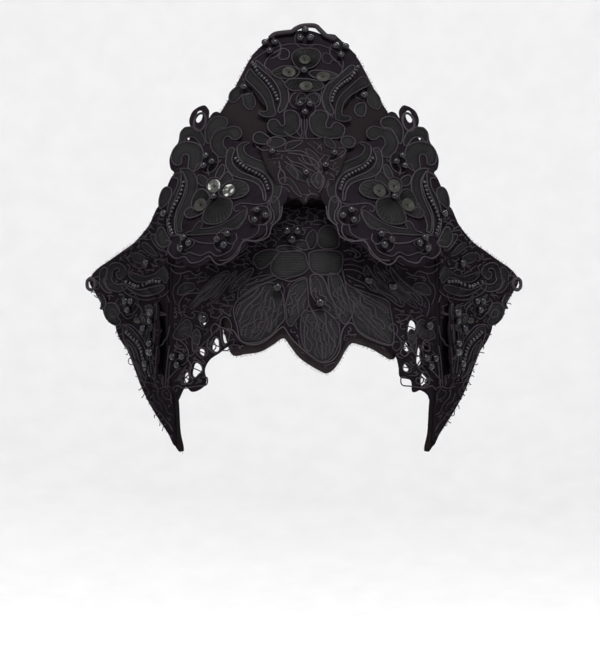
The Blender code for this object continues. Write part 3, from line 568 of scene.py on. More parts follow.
WING_ART = read_art("""
loop 134.8,105.2
pad 128.6,112.5 125.9,115.9 123.6,114.6 125,108.5 122.8,102.5 118.9,99.5 123.5,100.1 127.3,104.6 128.8,108.8
pad 123.3,112.4 121,117.8 116.4,118.8 111.8,116.3 110.3,112.2 112.9,108.3 116.5,109 117.3,112.4 114.8,113.5
 116.4,115.4 119.4,113.9 119.8,108.7 116.3,105 109,105.2 108.3,102.8 114.3,100.1 120.9,101.9 123.7,106.9
line 109.7,117.5 107.8,115.8 109.2,112.2 106.2,110.7
pad 92.8,133.9 90.9,134.8 88.3,133.4 85.3,129 83.8,125.2 86.3,124.9 90,128.7
pad 98.9,129.2 96.9,130.4 93.4,128.2 90.2,124.6 88.2,121.6 91.9,122.6 96.8,125.9
pad 105.9,123 103.5,124.6 99.6,123.3 96.3,120.7 97.7,118.7 102.1,118 105.3,120.3
pad 108.9,110.5 107.8,112.6 103.2,111 96.7,109.4 89.7,111.2 84.8,114.3 82.3,112.6 81.6,107.9 83.1,104.4 86.4,107.6
 91.6,108.1 98.5,105.9 104.6,106.6
pad 110,104.9 106.7,101.3 98.8,98 90,98.2 83.9,101.4 85.5,103.6 91.7,103 100.3,101.5 106,103.1
seeds 108.3,106.5 104.3,104.5 100.2,103.8 96,105 91.6,106.5 86.1,105.8
line 111.6,107.4 112.3,103.4 109.1,98.9 100.5,95.7 90.8,95.4 83.3,97.8 79.9,102.5 80.8,109.4 84.8,115.7
pad 130.8,97.8 127.9,99.3 124.1,96 123.5,92 126.1,90.3 128.6,89.7 126.4,93.4 127.6,96
pad 123.9,90.3 121.2,93.1 116.4,92.3 113.9,88.3 115.3,84.5 113.4,81.9 115.4,79.2 120.2,79.8 123.7,83.3
line 119.8,84 121,87.4 118.4,89.2 115.9,86.5 117.2,83.9 119.1,85.1
line 114.7,96 116.7,93.1 115.2,89.2 112.3,86.3 108.8,83.4 104.5,85.7 105,90.7 102.8,93.6 103.6,97.9
line 104.5,93.5 100.7,91.5 98.9,87.6 101.7,83.5 104.3,81.9 101.8,80.9 98.1,82.9
petal 94.2,91 91.6,92 89.1,89.5 88.9,85.4 91.4,83.8 93.9,86.3
petal 99,85.9 95.4,86.4 92.9,83.3 94.4,80.4 98.1,81.2
petal 92.6,80.6 89.7,81.1 88.7,78.4 90.9,75.8 93.4,77.4
petal 95.3,75.8 92.7,76.5 91.3,72.9 92.9,68.6 95.5,67.6 96.5,71.7
line 86.5,98 87.7,91.7 87.5,83 86.3,74.4 86.4,68.6
line 84,113 79.6,104.2 77.9,92.8 78,78.3 80.9,65.7 83,54.4 85.2,41.6
line 81.8,97.2 80,88.6 80.9,77 83.3,67.2 85.2,54.4 87,41.6
line 76.2,97 75.6,88.5 77,76.9 79.4,64.3 81.4,51.7 83,41.6
line 89.3,80.2 87.5,68.6 88.1,60 86.5,51.5 87.6,43
pad 112.5,77.2 110.5,79 106.3,77.5 101.4,71.8 97.3,65.9 94.5,58.5 92.8,51.2 91.3,46.7 93.8,46.2 96.7,51.2 99.1,58.6
 102.8,67 107.4,72.2 111.3,75.1
pad 109.7,70.4 106.8,68.7 103.6,64.3 101.7,58.2 100.1,51.8 97.9,46.6 100.3,46.8 103.3,53.1 106.1,59.8 108.6,65.7
line 114.5,77.5 112.1,79.8 105.6,79 99.4,72.7 94.8,65.8 92.1,58.1 90,50.5 88.3,45.8
seeds 108.5,75.3 105,71.7 101.5,68.8 99,63.7 97.4,57.8 95.4,51.2 94.8,48.3
line 112.6,74.8 110.8,68.7 108.4,60.4 105,53.9 102.1,46.7 98.9,40.9
pad 109.2,65.7 107.5,66.9 105.1,62.8 104.3,58.1 106.4,59.8 108.3,62.8
line 107,55.7 103.8,55.2 102,48.8 98.6,46 99.9,41.8 96.7,37.7 98.7,33.2 94.7,30.3 92.3,25.8 89.5,23.9 86.2,19.7
 82.2,15.7 79,11.3 76,6.7
line 93.9,41.1 88.9,40.1 83,41.3 77.2,38.4 79.8,33.3 85.5,33.8 87.8,37.8 85,39.3
line 82.5,18.4 78.1,17.4 75.9,13.3 77.6,9.9 81.6,14 83.5,17.6
line 91,39 90.2,34.1 86.1,29.8 84,24.7 79.6,23.3 76.7,25.4 77.6,30 75.4,34.8 73.6,39.2
line 85.2,41.6 81.6,37.3 81.2,31.1 78.7,27.4
line 94.2,36.6 92.9,31.9 89.1,29.5 88.6,26.1
line 76.7,24.8 77.3,17.7 74.4,10.5 72.9,3.2
pad 88,137.4 85.3,138.8 83.1,136.7 81.8,131.4 83.3,127.1 85.6,130.4
line 98.4,60 96,54.1 93.4,46.9 91.4,41.2 89.9,37.7
line 103.6,45.9 100.4,43.6 95.5,43.1 90.4,41.4
""")
TEMPLE_ART = read_art("""
line 79,114.2 76.3,111.3 72.1,110.6 66.9,111.7 63.5,109 59.4,110.9
line 83,119 77.8,115.9 72.2,114.5 65.9,115.6 62.2,113.8
pad 74.5,98.3 73,102.6 69.2,104.7 64.6,104 63.7,100.8 67.4,99.2 71.2,97.6
line 71.7,83.9 73.6,90.9 70.9,96.5 66.2,98.3 59.3,98.7 53.8,101.9 49,104.9
pad 77.2,72.3 73.5,78.6 68.4,82.4 65.3,78.4 66.7,72.7 72,69.9
pad 64.7,74.4 62,76.4 60.2,72.7 61.8,65.9 64.4,62.8 65.2,68.5
line 77.2,71.4 72.9,69.7 68.7,65.6 67.5,59.9 69.9,55.6 74.7,54.1
line 66.1,59.9 60.4,65.6 54.9,71.2 48.7,78.2
line 66.1,60.5 68.7,59.1 66.1,54.2 70.5,48.4 74.4,44.9 72,50.1 68.7,54.2
line 83.8,42.9 76.2,50.4 72,53.3
line 59.6,66.2 61,62.8 58.4,60 55.9,61.7 56.8,64.8 59,65
line 55.4,70.4 56.2,66.2 53.5,63.3 51,65.6 52.4,68.7 54.6,68.4
line 53.5,73.2 54.1,76.8 51.6,79.6 49.1,77.3 50.8,74.6
line 61.8,67 64.7,68.5 63.3,72.7 59.9,71.8
line 67.8,48.5 69.9,46.5 69,43.9 66.1,43.4 64.9,45.7 66.6,47.1 67.8,45.7
line 77.7,39.7 75,42 70.5,40.7 66.1,41.4 61.8,42.1 56.7,43 56.2,47.3 59,47.5
line 75.9,44.9 73.5,46.7 70.8,45 72,42.1
line 72.1,110.6 73.6,105.8 76.6,102.7 77.2,97.3 75.1,91.5
pad 62,96.8 56.5,100.9 49.7,105.5 48.9,102.1 53.7,96.5 59.2,93.6
""")
BROW_ART = read_art("""
cell -19.6,111.8 -18.3,117.2 -15,121.2 -7.6,122.3 -0.2,121.2 1.8,115.8 2.5,112.4 -0.9,108.9 -7.6,106.9 -12.9,105.6
 -17.6,108.3
cell 2.9,118.2 3.4,121.5 11.2,123.1 20.6,122 22.6,118.3 21.8,112.5 19.2,109 12.5,108.3 5.8,109.5 3.2,113
cell -29.6,117.3 -27.6,121.1 -22.3,123.2 -16.3,123.1 -15.3,120.7 -19.6,115.8 -23.6,112.5 -26.9,112.5
cell 7.9,129.3 8.9,134.5 14,137.8 19.3,134.8 20.6,129.4 19.3,124.7 12.6,123.7 8.8,125.3
cell -6.8,126.4 -3.9,128.8 1.1,128 2.1,123.4 -3.6,123.1 -6.3,124.2
cell -16.3,124 -13,125.6 -6.3,125.3 -1.2,122.8 -7.6,122.3 -13.3,121.9
cell 1.1,129.3 3.2,133.4 5.9,134.8 7.5,130.7 6.5,125.3 3.2,123.6
leaf 3.1,86.5 0.5,87.7 -1.4,84.4 -2.2,77.7 -1.6,70.9 -0.1,65.5 3.4,61.1 10.5,56.8 16.4,59.8 19.7,66.5 20.6,73.6
 19.3,79.8 16.4,83.1 12.5,86.9 8.5,87.8
line 4,62.8 1.1,64.4 -0.1,72.2 0.6,80.4 2.5,85.1
line 4.8,70.9 3.8,76.3 5.3,80.4 7.2,77.7 6.6,71.2 7.4,65.5 9.3,61.1 10.5,57.9
line 10.9,58.7 10.1,66.8 8.8,73.6 8,79 6.6,83.1 4.2,87.2
line 12.2,58.7 12.7,66 10.9,73.6 11.7,79 13.8,74.9 14.3,68.2 14.8,61.4 16.4,62.8 17.7,68.2 17.2,73.6 15.4,77.7 13.8,81
leaf -40.3,83.8 -40.6,89 -37.7,94.2 -32.7,97.9 -26.1,101.7 -19.5,103.8 -14.9,100.8 -12.2,95.3 -11.6,88.5 -11.3,82.4
 -14.9,77.9 -19.2,72.5 -27.1,68.2 -34.4,68.2 -37.3,70.9 -38.6,77.7
line -39.7,85.1 -38.5,89.8 -34,93.3 -29.8,95.7 -26.1,100.9 -31.1,98.4 -35.9,95.2
line -35.7,72 -37,77.7 -36.4,83.2 -34,87.5 -30,92.4 -26.1,96.8 -22.2,102.2
line -33.9,71.7 -33.4,76.3 -31,81.5 -27.6,87.2 -23.5,92.6 -20.2,99.2
line -31,70.3 -29.2,75 -26,79 -24.6,83.1 -25.8,86.9 -23.4,87.2 -22.2,83.1 -23.4,77.7 -26,73.6 -29.7,69.9
line -22.1,74.9 -20.5,80.4 -21.9,84.5 -20,89.9 -19,95.3 -17.4,89.9 -18.7,83.1 -19.5,77.7 -21.3,74.1
line -16.6,77.7 -15.8,83.1 -14.5,88.5 -12.6,94 -11.6,99.1 -13.4,103.2
line -36.3,85.1 -34,87.8 -31.1,91.3 -30.3,88.6 -33.1,84.8
leaf -10.2,85 -10.9,89.9 -9.6,95.3 -8.1,100.8 -3.6,104.6 0.7,105.4 2.1,100.8 2.3,93.9 1.8,88.5 -3.6,83.1 -7.6,77.7
 -10.2,80.4
line -8.9,85 -6.8,87.2 -4.9,91.2 -2.2,95 -0.3,95.9 -0.9,92.6 -3.6,89.6 -6.2,86.3 -8.4,84.4
line -12.7,105.7 -7.6,104.3 0.5,106.8 1.8,102.1 2.3,95.3 3.1,89.9 5.8,85.8 9.3,81.5 12.5,78.7
line -9.7,94 -7.6,99.1 -4.1,102.7
line 3.4,106.8 4.5,102.1 3.7,96.7 5.3,99.1 6.9,100.5 6.6,96.7 8.5,93.7
leaf 3.7,107.6 8.5,108.1 12.5,103.5 14.1,98 16.7,92.3 20.7,86.9 19.1,82.5 13.8,85.8 9.8,89.9 5.8,93.9 3.7,99.4
line 10.1,108.1 12.5,103.2 14.1,97.5 17,92.1 20.9,86.6
line 14.6,89.9 19.1,84.2 20.4,78.7 20.1,73.6
leaf 14.1,108.2 17.3,109 20.5,107.7 22.6,102.2 24.7,96.7 28.6,91 27,83.1 23.3,79 20.4,83.1 16.7,92.6 14.6,99.1
line 15.4,107.6 16.5,102.2 19.1,96.7 20.7,91.3 21.7,86.9 24.3,83.1
line 20.7,107.4 22.8,101.9 25.2,96.5 29.1,89.9 32.2,84.2
line 19.1,99.2 20.4,100.8 22,95.4 23.8,89.9 25.7,86.4
leaf 22.4,111.5 23.1,106.3 25.7,102.2 35,98.2 43,95.6 48.7,92.7 50,87.5 51.7,76.5 51.5,68.3 48.2,67.2 40,70.1
 32.7,74.2 28.5,79.9 27,88.6 24.9,96.7
line 27,98.1 32.2,90 38.8,82.1 44.4,75.6 49.8,68.8 45.5,69.9 38.7,75.6 32.7,81.8 27.8,89.1
line 29.7,95.1 35.9,87 43.9,81.1 51,74.3
line 30.2,99.3 36.2,93.6 43.2,89.9 48.6,85.8 47,89.1 40.8,93.4 34.4,96.6 29.2,100.1
line 28.6,92.7 32.7,85.9 38.8,79.1 45.8,72.1
leaf -66.5,90.3 -63.7,94.4 -58.3,101.5 -53,106.9 -46.3,110.9 -43.5,110 -48.9,102.6 -54.8,97 -60.4,92.4 -64.8,88.9
leaf -54.2,93.9 -50.2,99.6 -46.2,105.4 -41.6,109.7 -38.9,111.2 -40.5,106.3 -44.8,102 -48.8,96.8 -52.3,93.3
leaf -43.4,98.9 -40.7,105.2 -36.5,109.3 -31.3,112.5 -29.4,111.6 -31.5,107.5 -36.4,102.4 -40.4,98.9
leaf -38.5,95.3 -37.2,101 -32.5,105.1 -26.2,107.5 -19.6,108.2 -15.6,106.3 -20.9,104.1 -27.5,102 -34,97.9 -37.2,94.1
line -65.9,91.7 -61,96.8 -55.6,102.8 -48.9,108.2 -44.9,109.5
line -63.7,90.5 -58.3,95.7 -52.9,101.3 -47.6,106.2
line -52.6,94.7 -48.1,100.4 -42.7,106.9 -40,109.9
line -41.8,100 -38.1,105.7 -32,110.3
line -37.2,96.3 -34.1,101 -27.5,104.2 -19.6,106.6
leaf 36.2,114.5 39,109.3 44.4,103.7 51.2,99.6 57.9,94.5 57.3,90.1 53.8,91.1 47.1,96.2 40.3,100.2 36.3,105.1 34.5,110.6
leaf 40.5,114.8 44.5,110.5 50.2,106 56.9,100.3 62.3,94.7 66.1,89.2 60.6,91.6 53.9,98.3 47.1,103.2 42,108
leaf 50,114 54,108.9 59.6,103.5 67.5,97.6 68.9,90.7 63.4,95.2 56.6,101.4 51.3,107.7
line 37.2,113.4 41.2,107.2 47.9,100.9 55.5,95
line 42.1,113.5 47.2,107.6 54.4,101.4 60.6,95.2
line 51.3,113.2 55.3,107.5 62.1,101.6 68.1,95.4
line 23,122.4 26.2,123.2 30.2,121.4 29.3,118.7 32.8,120.1 31.2,122.5 27.3,124.6
line 22.7,117.2 27.2,118.1 31.2,116.5 35.2,117.7
line 23.2,114.5 28,114.6 32.7,113.3 36.4,110.6 39,106.3 44.4,102.5
line 23.4,111.5 28.7,111.6 34,109.2 38.5,104.9 43,98.6 38.9,99.7 34.5,103.5 29.2,105.9 24.5,108.3
line -44.6,76.4 -40.5,75 -37,69.6 -31.2,67.1 -24.7,68 -18.2,72.8 -13.5,77 -11.4,76.8 -7.6,70.9 -2.2,65.5 4.5,59.8
 10.5,56.4 16.4,57.9 20.4,63.8 21.2,70.9 22.5,76.3 25.6,79.7 28.4,78.9 32.2,73.6 40,69.4 48.2,66.7 51.7,67.4
""")
SEQUINS = {
    "peak": ((-0.5, 5.7), (10.4, -3.8), (-1.3, -12.5), (-13, -6.6)),
    "shoulder": ((-9.5, 1.2), (-2, -6.1), (9.5, 1.0)),
    "wing": ((0, 6), (7, -2), (-7, -3), (0, -9)),
}
SEQUIN_RADIUS = 3.5
SEQUIN_SHARE = {"peak": 1.1, "shoulder": 1.15, "wing": 0.75}
TRIOS = {
    "peak": {"tip": (-0.5, -26), "base": (-0.8, 29.2), "left": (23.6, 19.4), "right": (-25.3, 15.5)},
    "shoulder": {"tip": (-2.6, -22.4), "base": (0.9, 28.4), "inner": (-19.6, 24.4), "outer": (23.2, 17.7)},
    "wing": {"tip": (-8.5, -20.5), "base": (0, 27), "inner": (-28, 15)},
}
EDGE_BEADS = {"shoulder": ("bead_edge", (35, -7)), "wing": ("bead_crease", (27, 16))}


# Satin shapes: rise, height of the base, width of the rounded edge, hollow, and the way the stitches run
PADS = {
    "pad": (0.4, 0.0, 1.0, 0.0, "round"),
    "cell": (0.5, 0.0, 1.6, 0.0, "up"),
    "leaf": (0.25, 0.0, 1.0, 0.0, "up"),
    "petal": (0.7, 0.8, 1.2, 0.5, "out"),
}
# Thick cord round an eyelet: half width, half height, the cord's radius
EYELETS = {"loop": (2.9, 3.7, 1.2), "ring": (4.2, 5.0, 0.85)}
SEED_SPACING = 2.3
SEED_RADIUS = 1.3


def add_art(art, entries):
    """Draws a table's entries into a pattern."""
    for kind, points in entries:
        if kind == "seeds":
            art.seeds.append(curve(points, False, SEED_SPACING))
        elif kind == "line":
            art.cord(points)
        elif kind in EYELETS:
            half_u, half_v, radius = EYELETS[kind]
            art.cord(oval(*points[0], half_u, half_v), True, radius)
        else:
            points = np.array(points)
            art.pad(points, *PADS[kind])
            if kind == "leaf":
                add_veins(art, points)
    return art


def art_points(entries):
    """Places along everything that is drawn, eyelets left out."""
    return [p for _, points in entries if len(points) > 1 for p in curve(points, False, 2.0)]


def art_shapes(entries):
    return [curve(points, True, 3.0) for kind, points in entries if kind in ("cell", "leaf", "pad")]


def parts(line, keep):
    """The stretches of a line that are kept."""
    breaks = np.nonzero(np.diff(keep.astype(int)))[0] + 1
    return [part for part, kept in zip(np.split(line, breaks), np.split(keep, breaks)) if kept[0] and len(part) > 3]


def add_veins(art, points):
    """Cord loops that waver along a leaf, about as far apart as the leaf is full."""
    middle = points.mean(0)
    along, across = np.linalg.svd(points - middle)[2]
    spread = (points - middle) @ across
    reach = (points - middle) @ along
    count = max(int(round((spread.max() - spread.min()) / VEIN_SPACING)), 1)
    ring = curve(points, True, 1.5)
    for k in range(count):
        offset = spread.min() + (k + 0.5) * (spread.max() - spread.min()) / count
        first, last = (0.92, 0.35, 0.7)[k % 3], (0.92, 0.55, 0.9)[k % 3]
        start = middle + along * reach.min() * first + across * offset * 0.75
        end = middle + along * reach.max() * last + across * offset * 0.9
        loop = curve(finger(start, end, 1.6 + 0.5 * (k % 3), 1.9 * k))
        for part in parts(loop, inside(loop, ring) & (ring_distance(loop, ring) > VEIN_CLEAR)):
            art.cords.append((part, False, CORD_RADIUS, VEIN_RISE))


def add_threads(art, edge):
    """Loose ends of thread that curl off a worn edge."""
    for k in range(2, len(edge) - 1):
        if rng.random() < 0.45:
            continue
        way = edge[k + 1] - edge[k - 1]
        out = np.array((-way[1], way[0])) / np.linalg.norm(way)
        along = way / np.linalg.norm(way)
        reach, lean, curl = rng.uniform(1.0, 3.2), rng.uniform(-1.5, 1.5), rng.uniform(-2, 2)
        art.cord((edge[k] - out * 2.5, edge[k], edge[k] + out * reach * 0.6 + along * lean,
                  edge[k] + out * reach + along * (lean + curl)), False, THREAD_RADIUS, THREAD_RISE)


def add_scribble(art, ring, drawn, spacing, shapes=()):
    """Rows of cord that wander and curl, broken off near what is drawn: close lace without a pattern."""
    drawn = np.array(drawn) if len(drawn) else np.full((1, 2), 1e6)
    low, high = ring.min(0), ring.max(0)
    z = low[1] + spacing / 2
    while z < high[1]:
        one, two = rng.uniform(0, 6.3), rng.uniform(0, 6.3)
        t = np.arange(0, high[0] - low[0], 0.7) / spacing * 2.6
        x = low[0] + t * spacing / 2.6 + 0.45 * spacing * np.sin(2.1 * t + one)
        up = 0.36 * spacing * np.sin(1.45 * t + two) + 0.15 * spacing * np.sin(3.7 * t + one)
        line = np.stack((x, z + up), 1)
        keep = inside(line, ring)
        keep &= np.linalg.norm(line[:, None] - drawn[None], axis=2).min(1) > SCRIBBLE_CLEAR
        for shape in shapes:
            keep &= ~inside(line, shape)
        for part in parts(line, keep):
            art.cords.append((part, False, SCRIBBLE_RADIUS, SCRIBBLE_RISE))
        z += spacing * 0.72


# The brow lace's outline and its gaps, by x and z
BROW_OUTLINE = read_points("""
 -67,139 -43,145.5 -19,148 0,149 19,148 43,145.5 67,139 75,128 77.5,110.5 78.5,89.5 78.5,66.5 77.5,47 76,31.5
 73.5,36.5 68.5,39.5 64,38.5 63,45.5 56.5,47.5 55.5,54 53.5,60.5 47.5,63.5 41.5,67 34,69.5 29,70.5 25.5,68 21.5,61
 17.5,54.5 13,52.5 9.5,54 4,57 -2,62 -7,68.5 -12.5,74 -19,69.5 -26.5,65.5 -36,63.5 -42.5,64 -49.5,60 -55.5,58 -58.5,52
 -57.5,45.5 -59.5,41.5 -65.5,38.5 -70.5,41.5 -76,32.5 -77.5,47 -78.5,66.5 -78.5,89.5 -77.5,110.5 -75,128
""")
BROW_GAPS = (
    (-45.5, 76, 3.0, 6.5), (-51.5, 66.5, 2.5, 3.5), (-63, 52, 3.0, 4.0), (-60, 62.5, 2.0, 2.5),
    (-69.5, 47, 2.0, 3.5), (-58.5, 82.5, 2.0, 3.0), (63, 77, 2.5, 5.0), (67.5, 59.5, 2.0, 5.0),
    (70.5, 46, 2.0, 4.5), (59.5, 53, 1.8, 2.2), (60, 65.5, 1.8, 2.5), (71.5, 66.5, 1.5, 3.0),
)

# Building pieces


class Solid:
    """Points, faces and a point attribute gathered into one mesh. Points are in millimetres."""

    def __init__(self):
        self.points = []
        self.faces = []
        self.stitch = []
        self.count = 0

    def add(self, points, faces, stitch=None):
        self.points.append(points)
        self.faces += [tuple(int(i) + self.count for i in face) for face in faces]
        self.stitch.append(np.zeros((len(points), 3)) if stitch is None else stitch)
        self.count += len(points)

    def make(self, name, material, slot):
        mesh = bpy.data.meshes.new(name)
        mesh.from_pydata((np.concatenate(self.points) * MM).tolist(), [], self.faces)
        attribute = mesh.attributes.new("stitch", "FLOAT_VECTOR", "POINT")
        attribute.data.foreach_set("vector", np.concatenate(self.stitch).ravel())
        mesh.materials.append(material)
        mesh.shade_smooth()
        mesh.update()
        made = bpy.data.objects.new(name, mesh)
        bpy.context.scene.collection.objects.link(made)
        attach(made, BODY)
        return made

    def area(self):
        """A sheet's flat area: half of its front and back faces, in square metres."""
        points = np.concatenate(self.points)
        total = 0.0
        for face in self.faces:
            if len(face) == 3:
                a, b, c = points[list(face)]
                total += np.linalg.norm(np.cross(b - a, c - a)) / 2
        return total / 2 * MM * MM


def facing(points, faces, above):
    """The faces, turned where needed so that they look towards a point above the first one."""
    a, b, c = points[faces[0]]
    return faces[:, ::-1] if np.dot(np.cross(b - a, c - a), above - a) < 0 else faces


def add_tube(solid, flat, closed, radius, height, place, sides=6, shade=0.0):
    """A cord along a flat line, its middle height above the face it lies on."""
    flat = np.asarray(flat, float)
    middle = place(flat, height)
    up = place(flat, height + 0.5) - middle
    steps = np.linalg.norm(np.diff(middle, axis=0), axis=1)
    along = np.roll(middle, -1, axis=0) - np.roll(middle, 1, axis=0) if closed else np.gradient(middle, axis=0)
    along /= np.linalg.norm(along, axis=1)[:, None] + 1e-12
    side = np.cross(along, up)
    side /= np.linalg.norm(side, axis=1)[:, None] + 1e-12
    up = np.cross(side, along)
    angles = 2 * math.pi * np.arange(sides) / sides
    turn = np.cos(angles)[None, :, None] * side[:, None] + np.sin(angles)[None, :, None] * up[:, None]
    count = len(middle)
    stitch = np.zeros((count, sides, 3))
    stitch[:, :, 0] = np.concatenate(([0], np.cumsum(steps)))[:, None]
    stitch[:, :, 1] = angles[None]
    stitch[:, :, 2] = shade
    faces = []
    for i in range(count if closed else count - 1):
        a, b = i * sides, ((i + 1) % count) * sides
        for k in range(sides):
            n = (k + 1) % sides
            faces.append((a + k, b + k, b + n, a + n))
    if not closed:
        faces += [range(sides), range(count * sides - 1, (count - 1) * sides - 1, -1)]
    solid.add((middle[:, None] + radius * turn).reshape(-1, 3), faces, stitch.reshape(-1, 3))


def ball_template(segments, rings, flatten):
    points = [(0, 0, 1.0)]
    for i in range(1, rings):
        a = math.pi * i / rings
        for k in range(segments):
            b = 2 * math.pi * k / segments
            points.append((math.sin(a) * math.cos(b), math.sin(a) * math.sin(b), math.cos(a)))
    points.append((0, 0, -1.0))
    faces = []
    for k in range(segments):
        n = (k + 1) % segments
        faces.append((0, 1 + k, 1 + n))
        for i in range(rings - 2):
            a = 1 + i * segments
            faces.append((a + k, a + segments + k, a + segments + n, a + n))
        a = 1 + (rings - 2) * segments
        faces.append((a + k, len(points) - 1, a + n))
    return np.array(points) * (1, 1, flatten), faces


def add_ball(solid, centre, axis, radius, template, shade):
    """A ball with its poles along an axis."""
    ball, faces = template
    turn = np.array(Vector(axis).to_track_quat("Z", "Y").to_matrix())
    stitch = np.stack((np.full(len(ball), shade), ball[:, 2], np.zeros(len(ball))), 1)
    solid.add(ball @ turn.T * radius + centre, faces, stitch)


BEAD_BALL = ball_template(20, 12, 0.92)
SEED_BALL = ball_template(10, 6, 0.85)


def add_bead(solid, place, spot, radius, height):
    """A bead with its middle at a height above the face that it is sewn to."""
    flat = np.array([spot], float)
    centre = place(flat, height)
    add_ball(solid, centre[0], (place(flat, height + 1.0) - centre)[0], radius, BEAD_BALL, rng.random())


def add_sheet(solid, rings, place, thickness, spacing):
    """A closed sheet with its front face where place puts it and its back face thickness below."""
    coords, faces = flat_fill(rings, spacing)
    front, back = place(coords), place(coords, -thickness)
    faces = facing(front, faces, place(coords[faces[0][:1]], 1.0)[0])
    edges = {(face[i], face[(i + 1) % 3]): 1 for face in faces.tolist() for i in range(3)}
    count = len(coords)
    walls = [(i, i + count, j + count, j) for i, j in edges if (j, i) not in edges]
    stitch = np.pad(np.concatenate((coords, coords)), ((0, 0), (0, 1)))
    solid.add(np.concatenate((front, back)), faces.tolist() + (faces[:, ::-1] + count).tolist() + walls, stitch)


def lay_pattern(name, art, place):
    """The pieces that one flat drawing becomes: its satin, its cords and its seed beads."""
    made = []
    if art.pads:
        satin = Solid()
        for coords, faces, height, stitch in art.pads:
            points = place(coords, height)
            first = faces[0][0]
            faces = facing(points, faces, place(coords[first][None], height[first] + 1.0)[0])
            # Painted shade from the pad, mixed with a random tone for each pad
            stitch[:, 2] = 0.6 * stitch[:, 2] + 0.4 * rng.random()
            satin.add(points, faces, stitch)
        made.append(satin.make(f"{name}_satin", SATIN, "lace"))
    cords = Solid()
    for line, closed, radius, height in art.cords:
        shade = rng.random()
        steps = np.linalg.norm(np.diff(place(line, height), axis=0), axis=1)
        for part in [line] if closed else parts(line, np.append(steps < LONGEST_STEP, True)):
            add_tube(cords, part, closed, radius, height, place, shade=shade)
    made.append(cords.make(f"{name}_cords", CORD, "cord"))
    if art.seeds:
        seeds = Solid()
        for line in art.seeds:
            middles = place(line, SEED_RADIUS)
            for centre, axis in zip(middles, np.gradient(middles, axis=0)):
                add_ball(seeds, centre, axis, SEED_RADIUS, SEED_BALL, rng.random())
        made.append(seeds.make(f"{name}_seeds", SEED, "bead"))
    return made


# Materials


class Nodes:
    """A new material, with short ways to add nodes to its tree."""

    def __init__(self, name):
        self.material = bpy.data.materials.new(name)
        self.material.use_nodes = True
        self.tree = self.material.node_tree

    def add(self, kind, **settings):
        node = self.tree.nodes.new(kind)
        for key, value in settings.items():
            setattr(node, key, value)
        return node

    def feed(self, node, **values):
        """Gives a node's inputs a number or a link each."""
        for key, value in values.items():
            socket = node.inputs[key.replace("_", " ")]
            if isinstance(value, (int, float)):
                socket.default_value = value
            else:
                self.tree.links.new(value, socket)
        return node

    def math(self, operation, *values):
        node = self.add("ShaderNodeMath", operation=operation)
        for socket, value in zip(node.inputs, values):
            if isinstance(value, (int, float)):
                socket.default_value = value
            else:
                self.tree.links.new(value, socket)
        return node.outputs[0]

    def mix(self, *shares):
        """The sum of some outputs, each times its share."""
        total = 0.0
        for output, share in shares:
            total = self.math("MULTIPLY_ADD", output, share, total)
        return total

    def wave(self, run, length):
        return self.math("SINE", self.math("MULTIPLY", run, 2 * math.pi / length))

    def noise(self, scale, detail=2.0, roughness=0.5):
        """Noise over object coordinates in millimetres."""
        coordinates = self.add("ShaderNodeTexCoord")
        mapping = self.add("ShaderNodeMapping")
        mapping.inputs["Scale"].default_value = (1 / MM, 1 / MM, 1 / MM)
        self.feed(mapping, Vector=coordinates.outputs["Object"])
        node = self.add("ShaderNodeTexNoise")
        self.feed(node, Vector=mapping.outputs["Vector"], Scale=scale, Detail=detail, Roughness=roughness)
        return node.outputs["Fac"]

    def bump(self, height, strength, distance, *before):
        node = self.feed(self.add("ShaderNodeBump"), Height=height, Strength=strength, Distance=distance * MM)
        if before:
            self.feed(node, Normal=before[0])
        return node.outputs["Normal"]

    def stitch(self):
        """The point attribute: two distances over the piece, and a tone for each part of it, which on satin holds
        painted shade as well.
        """
        node = self.add("ShaderNodeAttribute", attribute_name="stitch")
        return self.feed(self.add("ShaderNodeSeparateXYZ"), Vector=node.outputs["Vector"]).outputs

    def finish(self, tone, stops, **settings):
        """The material, its colour between the two stops by tone."""
        node = self.feed(self.add("ShaderNodeValToRGB"), Fac=tone)
        for element, (at, colour) in zip(node.color_ramp.elements, stops):
            element.position = at
            element.color = (*colour, 1.0)
        self.feed(self.tree.nodes["Principled BSDF"], Base_Color=node.outputs["Color"], **settings)
        return self.material


def felt_material(name, stops):
    """Stiff wool felt: short fibres in every direction and slow changes of tone."""
    n = Nodes(name)
    fibres = n.noise(2.6, 6.0, 0.7)
    normal = n.bump(fibres, 0.55, 0.35, n.bump(n.noise(0.9, 4.0, 0.6), 0.35, 0.6))
    tone = n.mix((fibres, 0.6), (n.noise(0.035), 0.4))
    return n.finish(tone, stops, Roughness=0.92, Specular_IOR_Level=0.0, Normal=normal)


def net_material():
    """Dense lace ground: fine crossing threads with a little of the dark behind them."""
    n = Nodes("crown_lace_ground")
    u, v, _ = n.stitch()
    slow = n.noise(0.12, 3.0, 0.55)
    weave = 1.0
    for angle in (33, 93, 153):
        way = math.radians(angle)
        across = n.mix((u, math.cos(way)), (v, math.sin(way)), (slow, 2.2))
        weave = n.math("MULTIPLY", weave, n.math("ABSOLUTE", n.wave(across, 1.24)))
    normal = n.bump(n.noise(3.5, 3.0, 0.6), 0.3, 0.2, n.bump(weave, 0.6, 0.3))
    tone = n.mix((weave, 0.55), (slow, 0.6))
    stops = ((0.15, (0.0034, 0.0028, 0.0036)), (0.8, (0.0105, 0.0086, 0.0108)))
    return n.finish(tone, stops, Roughness=0.8, Specular_IOR_Level=0.0, Normal=normal)


